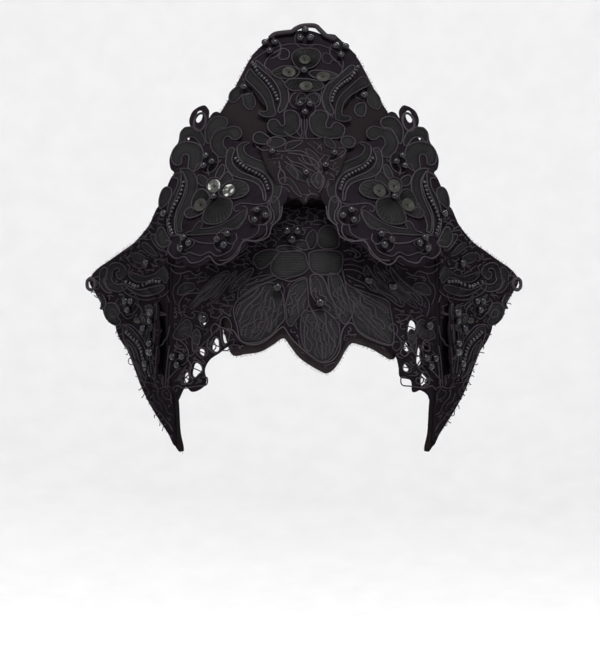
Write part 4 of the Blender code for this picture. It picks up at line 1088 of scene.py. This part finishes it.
def satin_material():
    """Satin stitch: close parallel threads that catch the light, over soft padding."""
    n = Nodes("crown_satin")
    # The third channel is painted shade and highlight from the pad, mixed with a random tone for each pad
    run, _, tone = n.stitch()
    run = n.mix((run, 1.0), (n.noise(0.25), 0.8))
    threads = n.wave(run, 0.6)
    broad = n.wave(n.mix((run, 1.0), (n.noise(0.6), 1.6)), 1.5)
    fibres = n.noise(2.8, 4.0, 0.6)
    normal = n.bump(fibres, 0.25, 0.2, n.bump(n.mix((threads, 1.0), (broad, 0.7)), 0.55, 0.16))
    tone = n.mix((threads, 0.11), (n.noise(0.1), 0.5), (broad, 0.13), (tone, 0.42), (fibres, 0.16))
    stops = ((0.2, (0.0026, 0.0025, 0.0027)), (0.85, (0.0148, 0.0144, 0.0149)))
    return n.finish(tone, stops, Roughness=0.5, Specular_IOR_Level=0.01, Normal=normal)


def cord_material():
    """Soft twisted cord, lighter than the cloth that it edges."""
    n = Nodes("crown_cord")
    along, around, tone = n.stitch()
    twist = n.math("SINE", n.math("MULTIPLY_ADD", along, 2 * math.pi / 1.1, around))
    fibres = n.noise(4.0, 3.0, 0.6)
    normal = n.bump(fibres, 0.3, 0.15, n.bump(twist, 0.6, 0.16))
    tone = n.mix((twist, 0.16), (fibres, 0.5), (tone, 0.3))
    stops = ((0.1, (0.013, 0.0113, 0.0130)), (0.9, (0.039, 0.0344, 0.0392)))
    return n.finish(tone, stops, Roughness=0.62, Specular_IOR_Level=0.01, Normal=normal)


def bead_material(name, level, stops):
    """Black glass with a dark metallic lustre."""
    n = Nodes(name)
    cloud = n.noise(0.6)
    tone = n.mix((n.stitch()[0], 0.5), (cloud, 0.5))
    return n.finish(tone, stops, Roughness=n.math("MULTIPLY_ADD", cloud, 0.12, 0.1), Specular_IOR_Level=level)


def sequin_material(name, stops):
    """Thin pearly plastic, dark olive to pale by a noise cloud: painted light, the pale patches a painted highlight
    in place of the light that the sequin catches.
    """
    n = Nodes(name)
    cloud = n.noise(0.25, 3.0)
    return n.finish(
        cloud, stops, Roughness=n.math("MULTIPLY_ADD", cloud, 0.2, 0.22), Specular_IOR_Level=0.03,
        Normal=n.bump(cloud, 0.25, 0.3),
    )


FELT_CLOTH = felt_material("crown_felt", ((0.25, (0.0052, 0.0042, 0.0047)), (0.75, (0.0104, 0.0085, 0.0093))))
# The brow felt is the same felt as the halo's, painted about twice as light: painted light on its hem below the lace.
BROW_FELT_PAINTED_LIGHT = felt_material("crown_brow_felt_painted_light", ((0.25, (0.0115, 0.0093, 0.0098)), (0.75, (0.0225, 0.0183, 0.0188))))
NET = net_material()
SATIN = satin_material()
CORD = cord_material()
BEAD = bead_material("crown_bead", 0.2, ((0.2, (0.004, 0.0036, 0.0044)), (0.8, (0.009, 0.0082, 0.0096))))
SEED = bead_material("crown_seed_bead", 0.22, ((0.2, (0.007, 0.0065, 0.0075)), (0.8, (0.018, 0.017, 0.019))))
SEQUIN = sequin_material("crown_sequin", ((0.3, (0.012, 0.0118, 0.0108)), (0.7, (0.024, 0.0238, 0.0215))))
# The bright sequins: the same sequin with a pale upper stop, which is a painted highlight.
PAINTED_HIGHLIGHT_SEQUIN = sequin_material("crown_bright_sequin", ((0.5, (0.03, 0.03, 0.028)), (0.6, (0.28, 0.28, 0.27))))

# The felt and the lace sheets

NAPE_OUTLINE = read_points("""
 -44,145 -24,150 0,152 24,150 44,145 46,155 24,160 0,162 -24,160 -46,155
""")
HALO_HALF = read_points("""
 0,254 13.5,253 21.5,251 26.5,249 33,241.5 37,234 40.5,227 44.5,219 48.5,212 54,203.5 62,194 70.5,184 77,175 81,165
 86,153.5 93.5,142 104,131.5 113,126 123,120 132.5,114 137,107 133,99.5 127,90 118.5,77 112,64 106.5,50 101.5,37
 94.5,24 86,11 79,0 77,1.5 79,12.5 79.5,31.5 81,48.5 81.5,70 81,94.5 80.5,116.5 78.5,131.5 67,142.5 47.5,147 28.5,146
 15,149.5 6.5,158.5
""")
BROW_FELT = read_points("""
 -71,147 -47.5,157 -24,161 0,163 24,161 47.5,157 71,147 76,130 78,114.5 77,105 69,100 60,89.5 56.5,76 54.5,59 47.5,61
 41.5,64.5 34,67 28.5,68 24.5,63.5 21,57 17,52 13,50 9.5,51.5 4,54.5 -3,59.5 -8.5,66.5 -12.5,71 -19,67 -26.5,63
 -36,61.5 -43.5,61.5 -48.5,76 -54.5,89.5 -65,100 -76,105 -78,114.5 -76,130
""")
SPRIG_HALF = read_points("""
 0,187.5 5.5,189.5 12.5,186.5 19,188 24.5,184 25,179 23,173.5 21,168 18,163 16,158 11.5,154 8,150 4,151 0,147
""")


def ragged(gap, grow=0.0):
    """An opening between cords: an oval whose edge wanders."""
    x, z, wide, tall = gap
    angles = 2 * math.pi * np.arange(16) / 16
    size = 1 + 0.16 * np.sin(2 * angles + x) + 0.13 * np.sin(3 * angles + z)
    flat = np.stack((x + (wide * size + grow) * np.cos(angles), z + (tall * size + grow) * np.sin(angles)), 1)
    return curve(flat, True, 1.0)


def mirrored(half):
    return half + [(-u, v) for u, v in half[::-1] if u > 0]


def flat_size(ring, place):
    """How wide and how long a sheet is when it is flat, in small steps along its upper and its right part."""
    low, high = ring.min(0), ring.max(0)
    sizes = []
    for axis in (0, 1):
        step = (high[axis] - low[axis]) / 200
        total = 0.0
        for at in low[axis] + step * (np.arange(200) + 0.5):
            line = np.zeros((120, 2))
            line[:, axis] = at
            line[:, 1 - axis] = np.linspace(low[1 - axis], high[1 - axis], 120)
            line = line[inside(line, ring)]
            if len(line):
                pair = np.repeat(line[len(line) * (6 + axis) // 8][None], 2, axis=0)
                pair[:, axis] += (-step / 2, step / 2)
                total += np.linalg.norm(np.diff(place(pair), axis=0))
        sizes.append(total * MM)
    return sizes


SHEETS = {}


def cloth(name, node, rings, place, thickness, spacing, material, slot, held, rests_on):
    """One sheet of cloth, which stands for a node if there is one."""
    solid = Solid()
    add_sheet(solid, rings, place, thickness, spacing)
    made = solid.make(name, material, slot)
    if node:
        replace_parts(made, node)
    SHEETS[name] = [made, flat_size(rings[0], place), held, rests_on, solid.area(), []]


def sew(sheet, *pieces):
    """Notes what is sewn to a sheet."""
    SHEETS[sheet][-1].extend(pieces)


# How far apart the points of a sheet lie
FELT_GRID = 3.0
BROW_GRID = 2.2
LACE_GRID = 1.8
SIDE_GRID = 2.0
# Slot, how a sheet is held, and what it rests on
ON_BAND = ("felt", "stretched", ["head_band"])
ON_HALO = ("lace", "laid", ["halo_felt_cloth"])
ON_BROW = ("lace", "laid", ["brow_felt_cloth"])

halo_ring = curve(mirrored(HALO_HALF), True, 1.6)
cloth("halo_felt_cloth", "halo_felt", [halo_ring], HALO.place, FELT, FELT_GRID, FELT_CLOTH, *ON_BAND)
brow_ring = curve(BROW_FELT, True, 1.4)
cloth("brow_felt_cloth", "brow_felt", [brow_ring], BROW.place, FELT, FELT_GRID, BROW_FELT_PAINTED_LIGHT, *ON_BAND)
# The lower edge of the front lace, drawn in so that the felt's hem shows
brow_edge = [(x, z + HEM * smooth_step((52 - abs(x)) / 4) * smooth_step((80 - z) / 6)) for x, z in BROW_OUTLINE]
brow_rings = [curve(brow_edge, True, 1.2)] + [ragged(gap) for gap in BROW_GAPS]
cloth("brow_lace_net", "brow_lace", brow_rings, brow_lace_place, LACE, BROW_GRID, NET, *ON_BROW)
sprig_ring = curve(mirrored(SPRIG_HALF), True, 1.2)
cloth("sprig_lace_net", "sprig_lace", [sprig_ring], sprig_place, LACE, LACE_GRID, FELT_CLOTH, *ON_HALO)

rng = random.Random(7)
places = {motif: motif_place(kind, side) for motif, (kind, side) in PLACES.items()}
eyelets = [oval(*hole, sides=16) for hole in MOTIF_EYELETS]
# The peak's lace is cut narrower towards its base than the other motifs: half width, slope, and where it starts
TRIM_HALF = 37.0
TRIM_SLOPE = 0.68
TRIM_START = 12.4
trimmed = motif_outline()
limit = TRIM_HALF - TRIM_SLOPE * np.clip(trimmed[:, 1] - TRIM_START, 0, None)
trimmed[:, 0] = np.clip(trimmed[:, 0], -limit, limit)
for motif, place in places.items():
    net = f"{motif}_lace_net"
    outline = trimmed if motif == "peak" else motif_outline()
    cloth(net, f"{motif}_lace", [outline] + eyelets, place, LACE, LACE_GRID, NET, *ON_HALO)
    kind = PLACES[motif][0]
    if kind != "wing":
        art = add_art(Pattern(), PEAK_ART if kind == "peak" else SHOULDER_ART)
        sew(net, *lay_pattern(motif, art, place))

# Flowers, sequins and beads

# Rings of a sequin: share of its radius, and height
SEQUIN_CUP = ((0.14, 0.0), (0.5, 0.12), (0.85, 0.5), (1.0, 0.62))
SEQUIN_THICKNESS = 0.25
SEQUIN_RISE = 1.9
SEQUIN_TILT = 0.12
FLOWER_BEAD_V = {"peak": -2.9, "shoulder": 0.5, "wing": 0.5}
FLOWER_BEAD_RISE = 3.0
# Where on its oval each trio's loop of cord starts, and how many of the 24 places it takes
TRIO_LOOP_START = {"tip": 2, "base": 14, "inner": 6, "outer": 16, "left": 4, "right": 18}
TRIO_LOOP_PLACES = 15
TRIO_LOOP = 6.3


def add_disc(solid, place, centre, radius, wide, tall):
    """A cupped sequin with a small hole, leaning towards its flower's middle."""
    sides = 20
    angles = 2 * math.pi * np.arange(sides) / sides
    way = centre / np.linalg.norm(centre)
    rows = []
    for layer, cup in ((0.0, SEQUIN_CUP), (-SEQUIN_THICKNESS, SEQUIN_CUP[::-1])):
        for share, lift in cup:
            spread = radius * share
            flat = centre + spread * np.stack((wide * np.cos(angles), tall * np.sin(angles)), 1)
            rows.append(place(flat, SEQUIN_RISE + lift + SEQUIN_TILT * ((flat - centre) @ way) + layer))
    faces = []
    for i in range(len(rows)):
        j = (i + 1) % len(rows)
        for k in range(sides):
            m = (k + 1) % sides
            faces.append((i * sides + k, i * sides + m, j * sides + m, j * sides + k))
    solid.add(np.concatenate(rows), faces)


for motif, place in places.items():
    kind = PLACES[motif][0]
    spec = MOTIFS[kind]
    plain_sequins, painted_highlight = Solid(), Solid()
    for k, spot in enumerate(SEQUINS[kind]):
        wide, tall = (1.2, 0.8) if kind == "peak" and k else (1.0, 1.0)
        # The first two sequins on the left shoulder take the painted highlight material.
        solid = painted_highlight if motif == "shoulder_left" and k < 2 else plain_sequins
        add_disc(solid, place, np.array(spot, float), SEQUIN_RADIUS * SEQUIN_SHARE[kind], wide, tall)
    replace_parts(plain_sequins.make(f"{motif}_sequins", SEQUIN, "petal"), f"flower_{motif}")
    if painted_highlight.faces:
        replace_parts(painted_highlight.make(f"{motif}_bright_sequins", PAINTED_HIGHLIGHT_SEQUIN, "petal"), f"flower_{motif}")
    beads, loops, nodes = Solid(), Pattern(), []
    add_bead(beads, place, (0.0, FLOWER_BEAD_V[kind]), BEAD_RADIUS, FLOWER_BEAD_RISE)
    for word, spot in TRIOS[kind].items():
        wide = 1 / spec["narrow"]
        long = (1 if word == "base" else -1) / (spec["squeeze"] if spot[1] > 0 else 1)
        for k in range(3):
            angle = 2 * math.pi * k / 3
            bead = (spot[0] + TRIO_RADIUS * math.sin(angle) * wide, spot[1] + TRIO_RADIUS * math.cos(angle) * long)
            add_bead(beads, place, bead, BEAD_RADIUS, BEAD_GAP + BEAD_RADIUS)
        nodes.append(f"trio_{motif}_{word}")
        arc = oval(*spot, TRIO_LOOP * wide, TRIO_LOOP * abs(long))
        loops.cord(np.roll(arc, -TRIO_LOOP_START[word], axis=0)[:TRIO_LOOP_PLACES])
    if kind in EDGE_BEADS:
        name, spot = EDGE_BEADS[kind]
        add_bead(beads, place, spot, BEAD_RADIUS, BEAD_GAP + BEAD_RADIUS)
        nodes.append(f"{name}_{motif.split('_')[1]}")
    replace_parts(beads.make(f"{motif}_beads", BEAD, "bead"), *nodes)
    lay_pattern(f"{motif}_trio_loops", loops, place)

HALO_BEADS = {
    "bead_peak_left": (-35.8, 222.6), "bead_peak_right": (35.7, 217.3),
    "bead_side_left": (-94.5, 118.5), "bead_side_right": (95, 118.3),
}
SPRIG_BEADS = {
    "bead_sprig_upper": (12.5, 170.5), "bead_sprig_lower": (1.2, 165.5),
    "bead_sprig_left": (-18.5, 179.5), "bead_sprig_right": (17.5, 178.5),
}
BROW_BEADS = {
    "bead_brow_left": (-15.2, 100.7), "bead_brow_middle": (9.2, 91.6), "bead_brow_right": (36, 105.2),
    "bead_brow_far_right": (49.7, 101.9), "bead_temple_left": (-56.6, 82.8), "bead_temple_right": (70.4, 78.9),
}
# Three beads each: x, z and the beads' radius
BROW_TRIOS = {
    "trio_brow": (-7, 132, 2.75), "trio_temple_left": (-72, 58.4, BEAD_RADIUS),
    "trio_temple_right": (72, 57.5, BEAD_RADIUS),
}


def single_beads(name, spots, place, radius, trios):
    beads = Solid()
    for spot in spots.values():
        add_bead(beads, place, spot, radius, BEAD_GAP + radius)
    for x, z, size in trios.values():
        for k in range(3):
            angle = 2 * math.pi * k / 3
            spot = (x + TRIO_RADIUS * math.sin(angle), z - TRIO_RADIUS * math.cos(angle))
            add_bead(beads, place, spot, size, BEAD_GAP + size)
    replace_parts(beads.make(name, BEAD, "bead"), *spots, *trios)


single_beads("halo_beads", HALO_BEADS, HALO.place, BEAD_RADIUS, {})
single_beads("sprig_beads", SPRIG_BEADS, sprig_place, BEAD_RADIUS, {})
single_beads("brow_beads", BROW_BEADS, brow_lace_place, BROW_BEAD_RADIUS, BROW_TRIOS)

# The felt above, the sprig, the brow and the sides


FIBRE_RADIUS = 0.1
LONGEST_FIBRE = 3.2


def add_fuzz(name, outline, place, material):
    """Fine fibres that stand off a felt edge, two for each step along it."""
    fibres = Solid()
    for a, b in zip(outline[:-1], outline[1:]):
        along = (b - a) / np.linalg.norm(b - a)
        out = np.array((-along[1], along[0]))
        if inside((a + out * 0.6)[None], outline)[0]:
            out = -out
        for _ in range(2):
            start = a + (b - a) * rng.random() - out * 0.5
            lean = rng.uniform(-0.9, 0.9)
            reach = rng.uniform(0.7, 1.7)
            line = [start, start + out * reach * 0.7 + along * lean * 0.3, start + out * (0.4 + reach) + along * lean]
            depth = -rng.uniform(0.1, FELT - 0.1)
            if np.linalg.norm(np.diff(place(np.array(line), depth), axis=0), axis=1).sum() < LONGEST_FIBRE:
                add_tube(fibres, line, False, FIBRE_RADIUS, depth, place, sides=3)
    return fibres.make(name, material, "felt")


halo_ring = curve(mirrored(HALO_HALF), True, 1.5)
sew("halo_felt_cloth", add_fuzz("halo_felt_fuzz", halo_ring, HALO.place, FELT_CLOTH))
sew("brow_felt_cloth", add_fuzz("brow_felt_fuzz", curve(BROW_FELT, True, 1.5), BROW.place, BROW_FELT_PAINTED_LIGHT))
sew("halo_felt_cloth", *lay_pattern("upper", add_art(Pattern(), UPPER_ART), HALO.place))
art = add_art(Pattern(), SPRIG_ART)
sprig_ring = curve(mirrored(SPRIG_HALF), True, 2.0)
add_scribble(art, sprig_ring, art_points(SPRIG_ART), SCRIBBLE_ROWS["sprig"], art_shapes(SPRIG_ART))
sew("sprig_lace_net", *lay_pattern("sprig", art, sprig_place))
art = Pattern()
add_scribble(art, curve(NAPE_OUTLINE, True, 2.0), [], SCRIBBLE_ROWS["nape"])
sew("brow_felt_cloth", *lay_pattern("nape", art, BROW.place))
sew("brow_lace_net", *lay_pattern("brow", add_art(Pattern(), BROW_ART), brow_lace_place))
art = add_art(Pattern(), TEMPLE_ART)
for gap in BROW_GAPS:
    x, z, wide, tall = gap
    art.cord(ragged(gap, 0.7)[::2], True)
    art.cord(((x - wide - 1.2, z + tall * 0.3), (x, z + 0.4), (x + wide + 1.2, z - tall * 0.4)), False, 0.35)
left_temple = [(kind, [(-u, v) for u, v in points]) for kind, points in TEMPLE_ART]
add_art(art, left_temple)
clear = art_points(TEMPLE_ART + left_temple + BROW_ART) + [p for gap in BROW_GAPS for p in oval(*gap)]
add_scribble(art, curve(BROW_OUTLINE, True, 2.0), clear, SCRIBBLE_ROWS["brow"], art_shapes(BROW_ART))
sew("brow_lace_net", *lay_pattern("temple", art, brow_lace_place))

SIDE_OUTLINE = read_points("""
 80,134 87,151 94,140.5 104,130.5 113,125 123,119 132,113 135.5,107 132,99.5 126,90 117.5,77.5 111,64.5 105.5,50.5
 100.5,37.5 93.5,25 85.5,12.5 80,4 80.5,31.5 82,48.5 82.5,70 82,94.5 81.5,116.5
""")
SIDE_NET = 0.9
SIDE_GAP = 0.15
# Cords on the side end here, because the wall turns away steeply further in
SIDE_EDGE = 80.6
WING_RING = motif_outline()


def wing_flat(flat):
    """A wing motif's u and v from x and z on the right side."""
    spec = MOTIFS["wing"]
    turn = math.radians(spec["tilt"])
    x, z = flat[:, 0], flat[:, 1]
    along = HALO.read(HALO.length, x, z) - HALO.read(HALO.length, np.full(len(x), float(spec["centre"][0])), z)
    drop = spec["centre"][1] - z
    u = along * math.cos(turn) + drop * math.sin(turn)
    v = -along * math.sin(turn) + drop * math.cos(turn)
    return np.stack((u / spec["narrow"], v), 1)


def net_cover(flat):
    return SIDE_GAP + SIDE_NET


def side_cover(flat):
    """How thick the lace is on the felt: the wing's where there is some, else the net's."""
    uv = wing_flat(flat)
    spec = MOTIFS["wing"]
    lifted = spec["lift"] * smooth_step((uv[:, 1] - spec["lift_start"]) / (BASE_END_V - spec["lift_start"]))
    depth = ring_distance(uv, WING_RING) * np.where(inside(uv, WING_RING), 1.0, -1.0)
    share = smooth_step(0.5 + depth / 3.0)
    return net_cover(flat) * (1 - share) + (SEWN_GAP + LACE + lifted) * share


def side_place(side, cover):
    def place(flat, height=0.0):
        points = HALO.place(flat, cover(flat) + height)
        points[:, 0] *= side
        return points

    return place


side_ring = curve(SIDE_OUTLINE, True, 1.4)
for word, side in (("left", -1), ("right", 1)):
    net = f"side_{word}_net"
    cloth(net, None, [side_ring], side_place(side, net_cover), SIDE_NET, SIDE_GRID, NET, *ON_HALO)
    art = add_art(Pattern(), WING_ART)
    scribble_ring = curve(SIDE_OUTLINE, True, 2.0)
    add_scribble(art, scribble_ring, art_points(WING_ART), SCRIBBLE_ROWS["side"], art_shapes(WING_ART))
    add_threads(art, curve(SIDE_OUTLINE[7:16], False, 4.0))
    cords, art.cords = art.cords, []
    for line, closed, radius, height in cords:
        keep = line[:, 0] > SIDE_EDGE
        if keep.all():
            art.cords.append((line, closed, radius, height))
        else:
            art.cords.extend((part, False, radius, height) for part in parts(line, keep))
    sew(net, *lay_pattern(f"side_{word}", art, side_place(side, side_cover)))

# The peak's cord and the head band

PEAK_CORD = read_points("""
 -20.2,251 -17.6,253.4 -12.3,254.4 -7.4,255 -5.2,256.8 -1.8,258.6 2.6,259.2 7.1,258.7 9.8,255.9 13.1,252.4 16.4,250.9
 19,250
""")
PEAK_CORD_RADIUS = 1.5
PEAK_CORD_RISE = 5.4
peak_cord = Solid()
add_tube(peak_cord, curve(PEAK_CORD), False, PEAK_CORD_RADIUS, PEAK_CORD_RISE, HALO.place, sides=12)
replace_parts(peak_cord.make("peak_cord_twist", CORD, "cord"), "peak_cord")
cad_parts["head_band"].data.materials[0] = FELT_CLOTH

# Camera, lights and floor

scene = bpy.context.scene
camera = bpy.data.objects.new("camera", bpy.data.cameras.new("camera"))
scene.collection.objects.link(camera)
camera.location = Vector((VIEW_CENTRE_X, -CAMERA_DISTANCE, VIEW_CENTRE_Z)) * MM
camera.rotation_euler = (math.pi / 2, 0, 0)
camera.data.sensor_fit = "VERTICAL"
camera.data.sensor_height = SENSOR
camera.data.lens = SENSOR * CAMERA_DISTANCE / (MM_PER_PIXEL * PHOTO_HEIGHT)
camera.data.clip_end = 50
scene.camera = camera

scene.world = bpy.data.worlds.new("studio")
scene.world.use_nodes = True
background = scene.world.node_tree.nodes["Background"]
background.inputs["Color"].default_value = (1.0, 0.99, 0.985, 1)
background.inputs["Strength"].default_value = 0.79

FLOOR_Z = -0.42
FLOOR_RADIUS = 2.2
FLOOR_BEND = 1.4
WALL_TOP = 5.0


def stage_bowl(sides=64):
    """A pale floor that curves up into a wall all round."""
    profile = [(0.0, FLOOR_Z), (FLOOR_RADIUS, FLOOR_Z)]
    for i in range(1, 13):
        a = math.pi / 2 * i / 12
        profile.append((FLOOR_RADIUS + FLOOR_BEND * math.sin(a), FLOOR_Z + FLOOR_BEND * (1 - math.cos(a))))
    profile.append((FLOOR_RADIUS + FLOOR_BEND, WALL_TOP))
    points, faces = [], []
    for i, (radius, z) in enumerate(profile):
        for k in range(sides):
            a = 2 * math.pi * k / sides
            points.append((radius * math.cos(a), radius * math.sin(a), z))
            n = (k + 1) % sides
            if i:
                faces.append(((i - 1) * sides + k, (i - 1) * sides + n, i * sides + n, i * sides + k))
    mesh = bpy.data.meshes.new("floor")
    mesh.from_pydata(points, [], faces)
    mesh.shade_smooth()
    n = Nodes("pale_floor")
    stops = ((0.3, (0.72, 0.72, 0.725)), (0.7, (0.75, 0.75, 0.755)))
    mesh.materials.append(n.finish(n.noise(0.02), stops, Roughness=0.9))
    made = bpy.data.objects.new("floor", mesh)
    scene.collection.objects.link(made)
    made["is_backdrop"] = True


stage_bowl()

for name, place, aim_z, width, height, power in (
    # name, place, height that it aims at, width, height, watts
    ("key", (0.15, -1.35, 1.75), 0.12, 1.0, 0.6, 84),
    ("left", (-1.7, -1.0, 0.7), 0.1, 1.0, 1.6, 19),
    ("right", (1.7, -1.0, 0.7), 0.1, 1.0, 1.6, 16),
    ("back", (0.3, 1.9, 1.3), 0.1, 1.6, 1.0, 36),
):
    data = bpy.data.lights.new(name, "AREA")
    data.shape = "RECTANGLE"
    data.size = width
    data.size_y = height
    data.energy = power
    light = bpy.data.objects.new(name, data)
    scene.collection.objects.link(light)
    light.location = place
    light.rotation_euler = (Vector((0, 0, aim_z)) - Vector(place)).to_track_quat("-Z", "Y").to_euler()
scene.view_settings.view_transform = "Standard"

for made, (width, length), held, rests_on, area, sewn in SHEETS.values():
    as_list(rests_on)
    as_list(sewn)

boxes = {"cad": cad_box, "visual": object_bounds()}
{name: [list(corner) for corner in box] for name, box in boxes.items()}
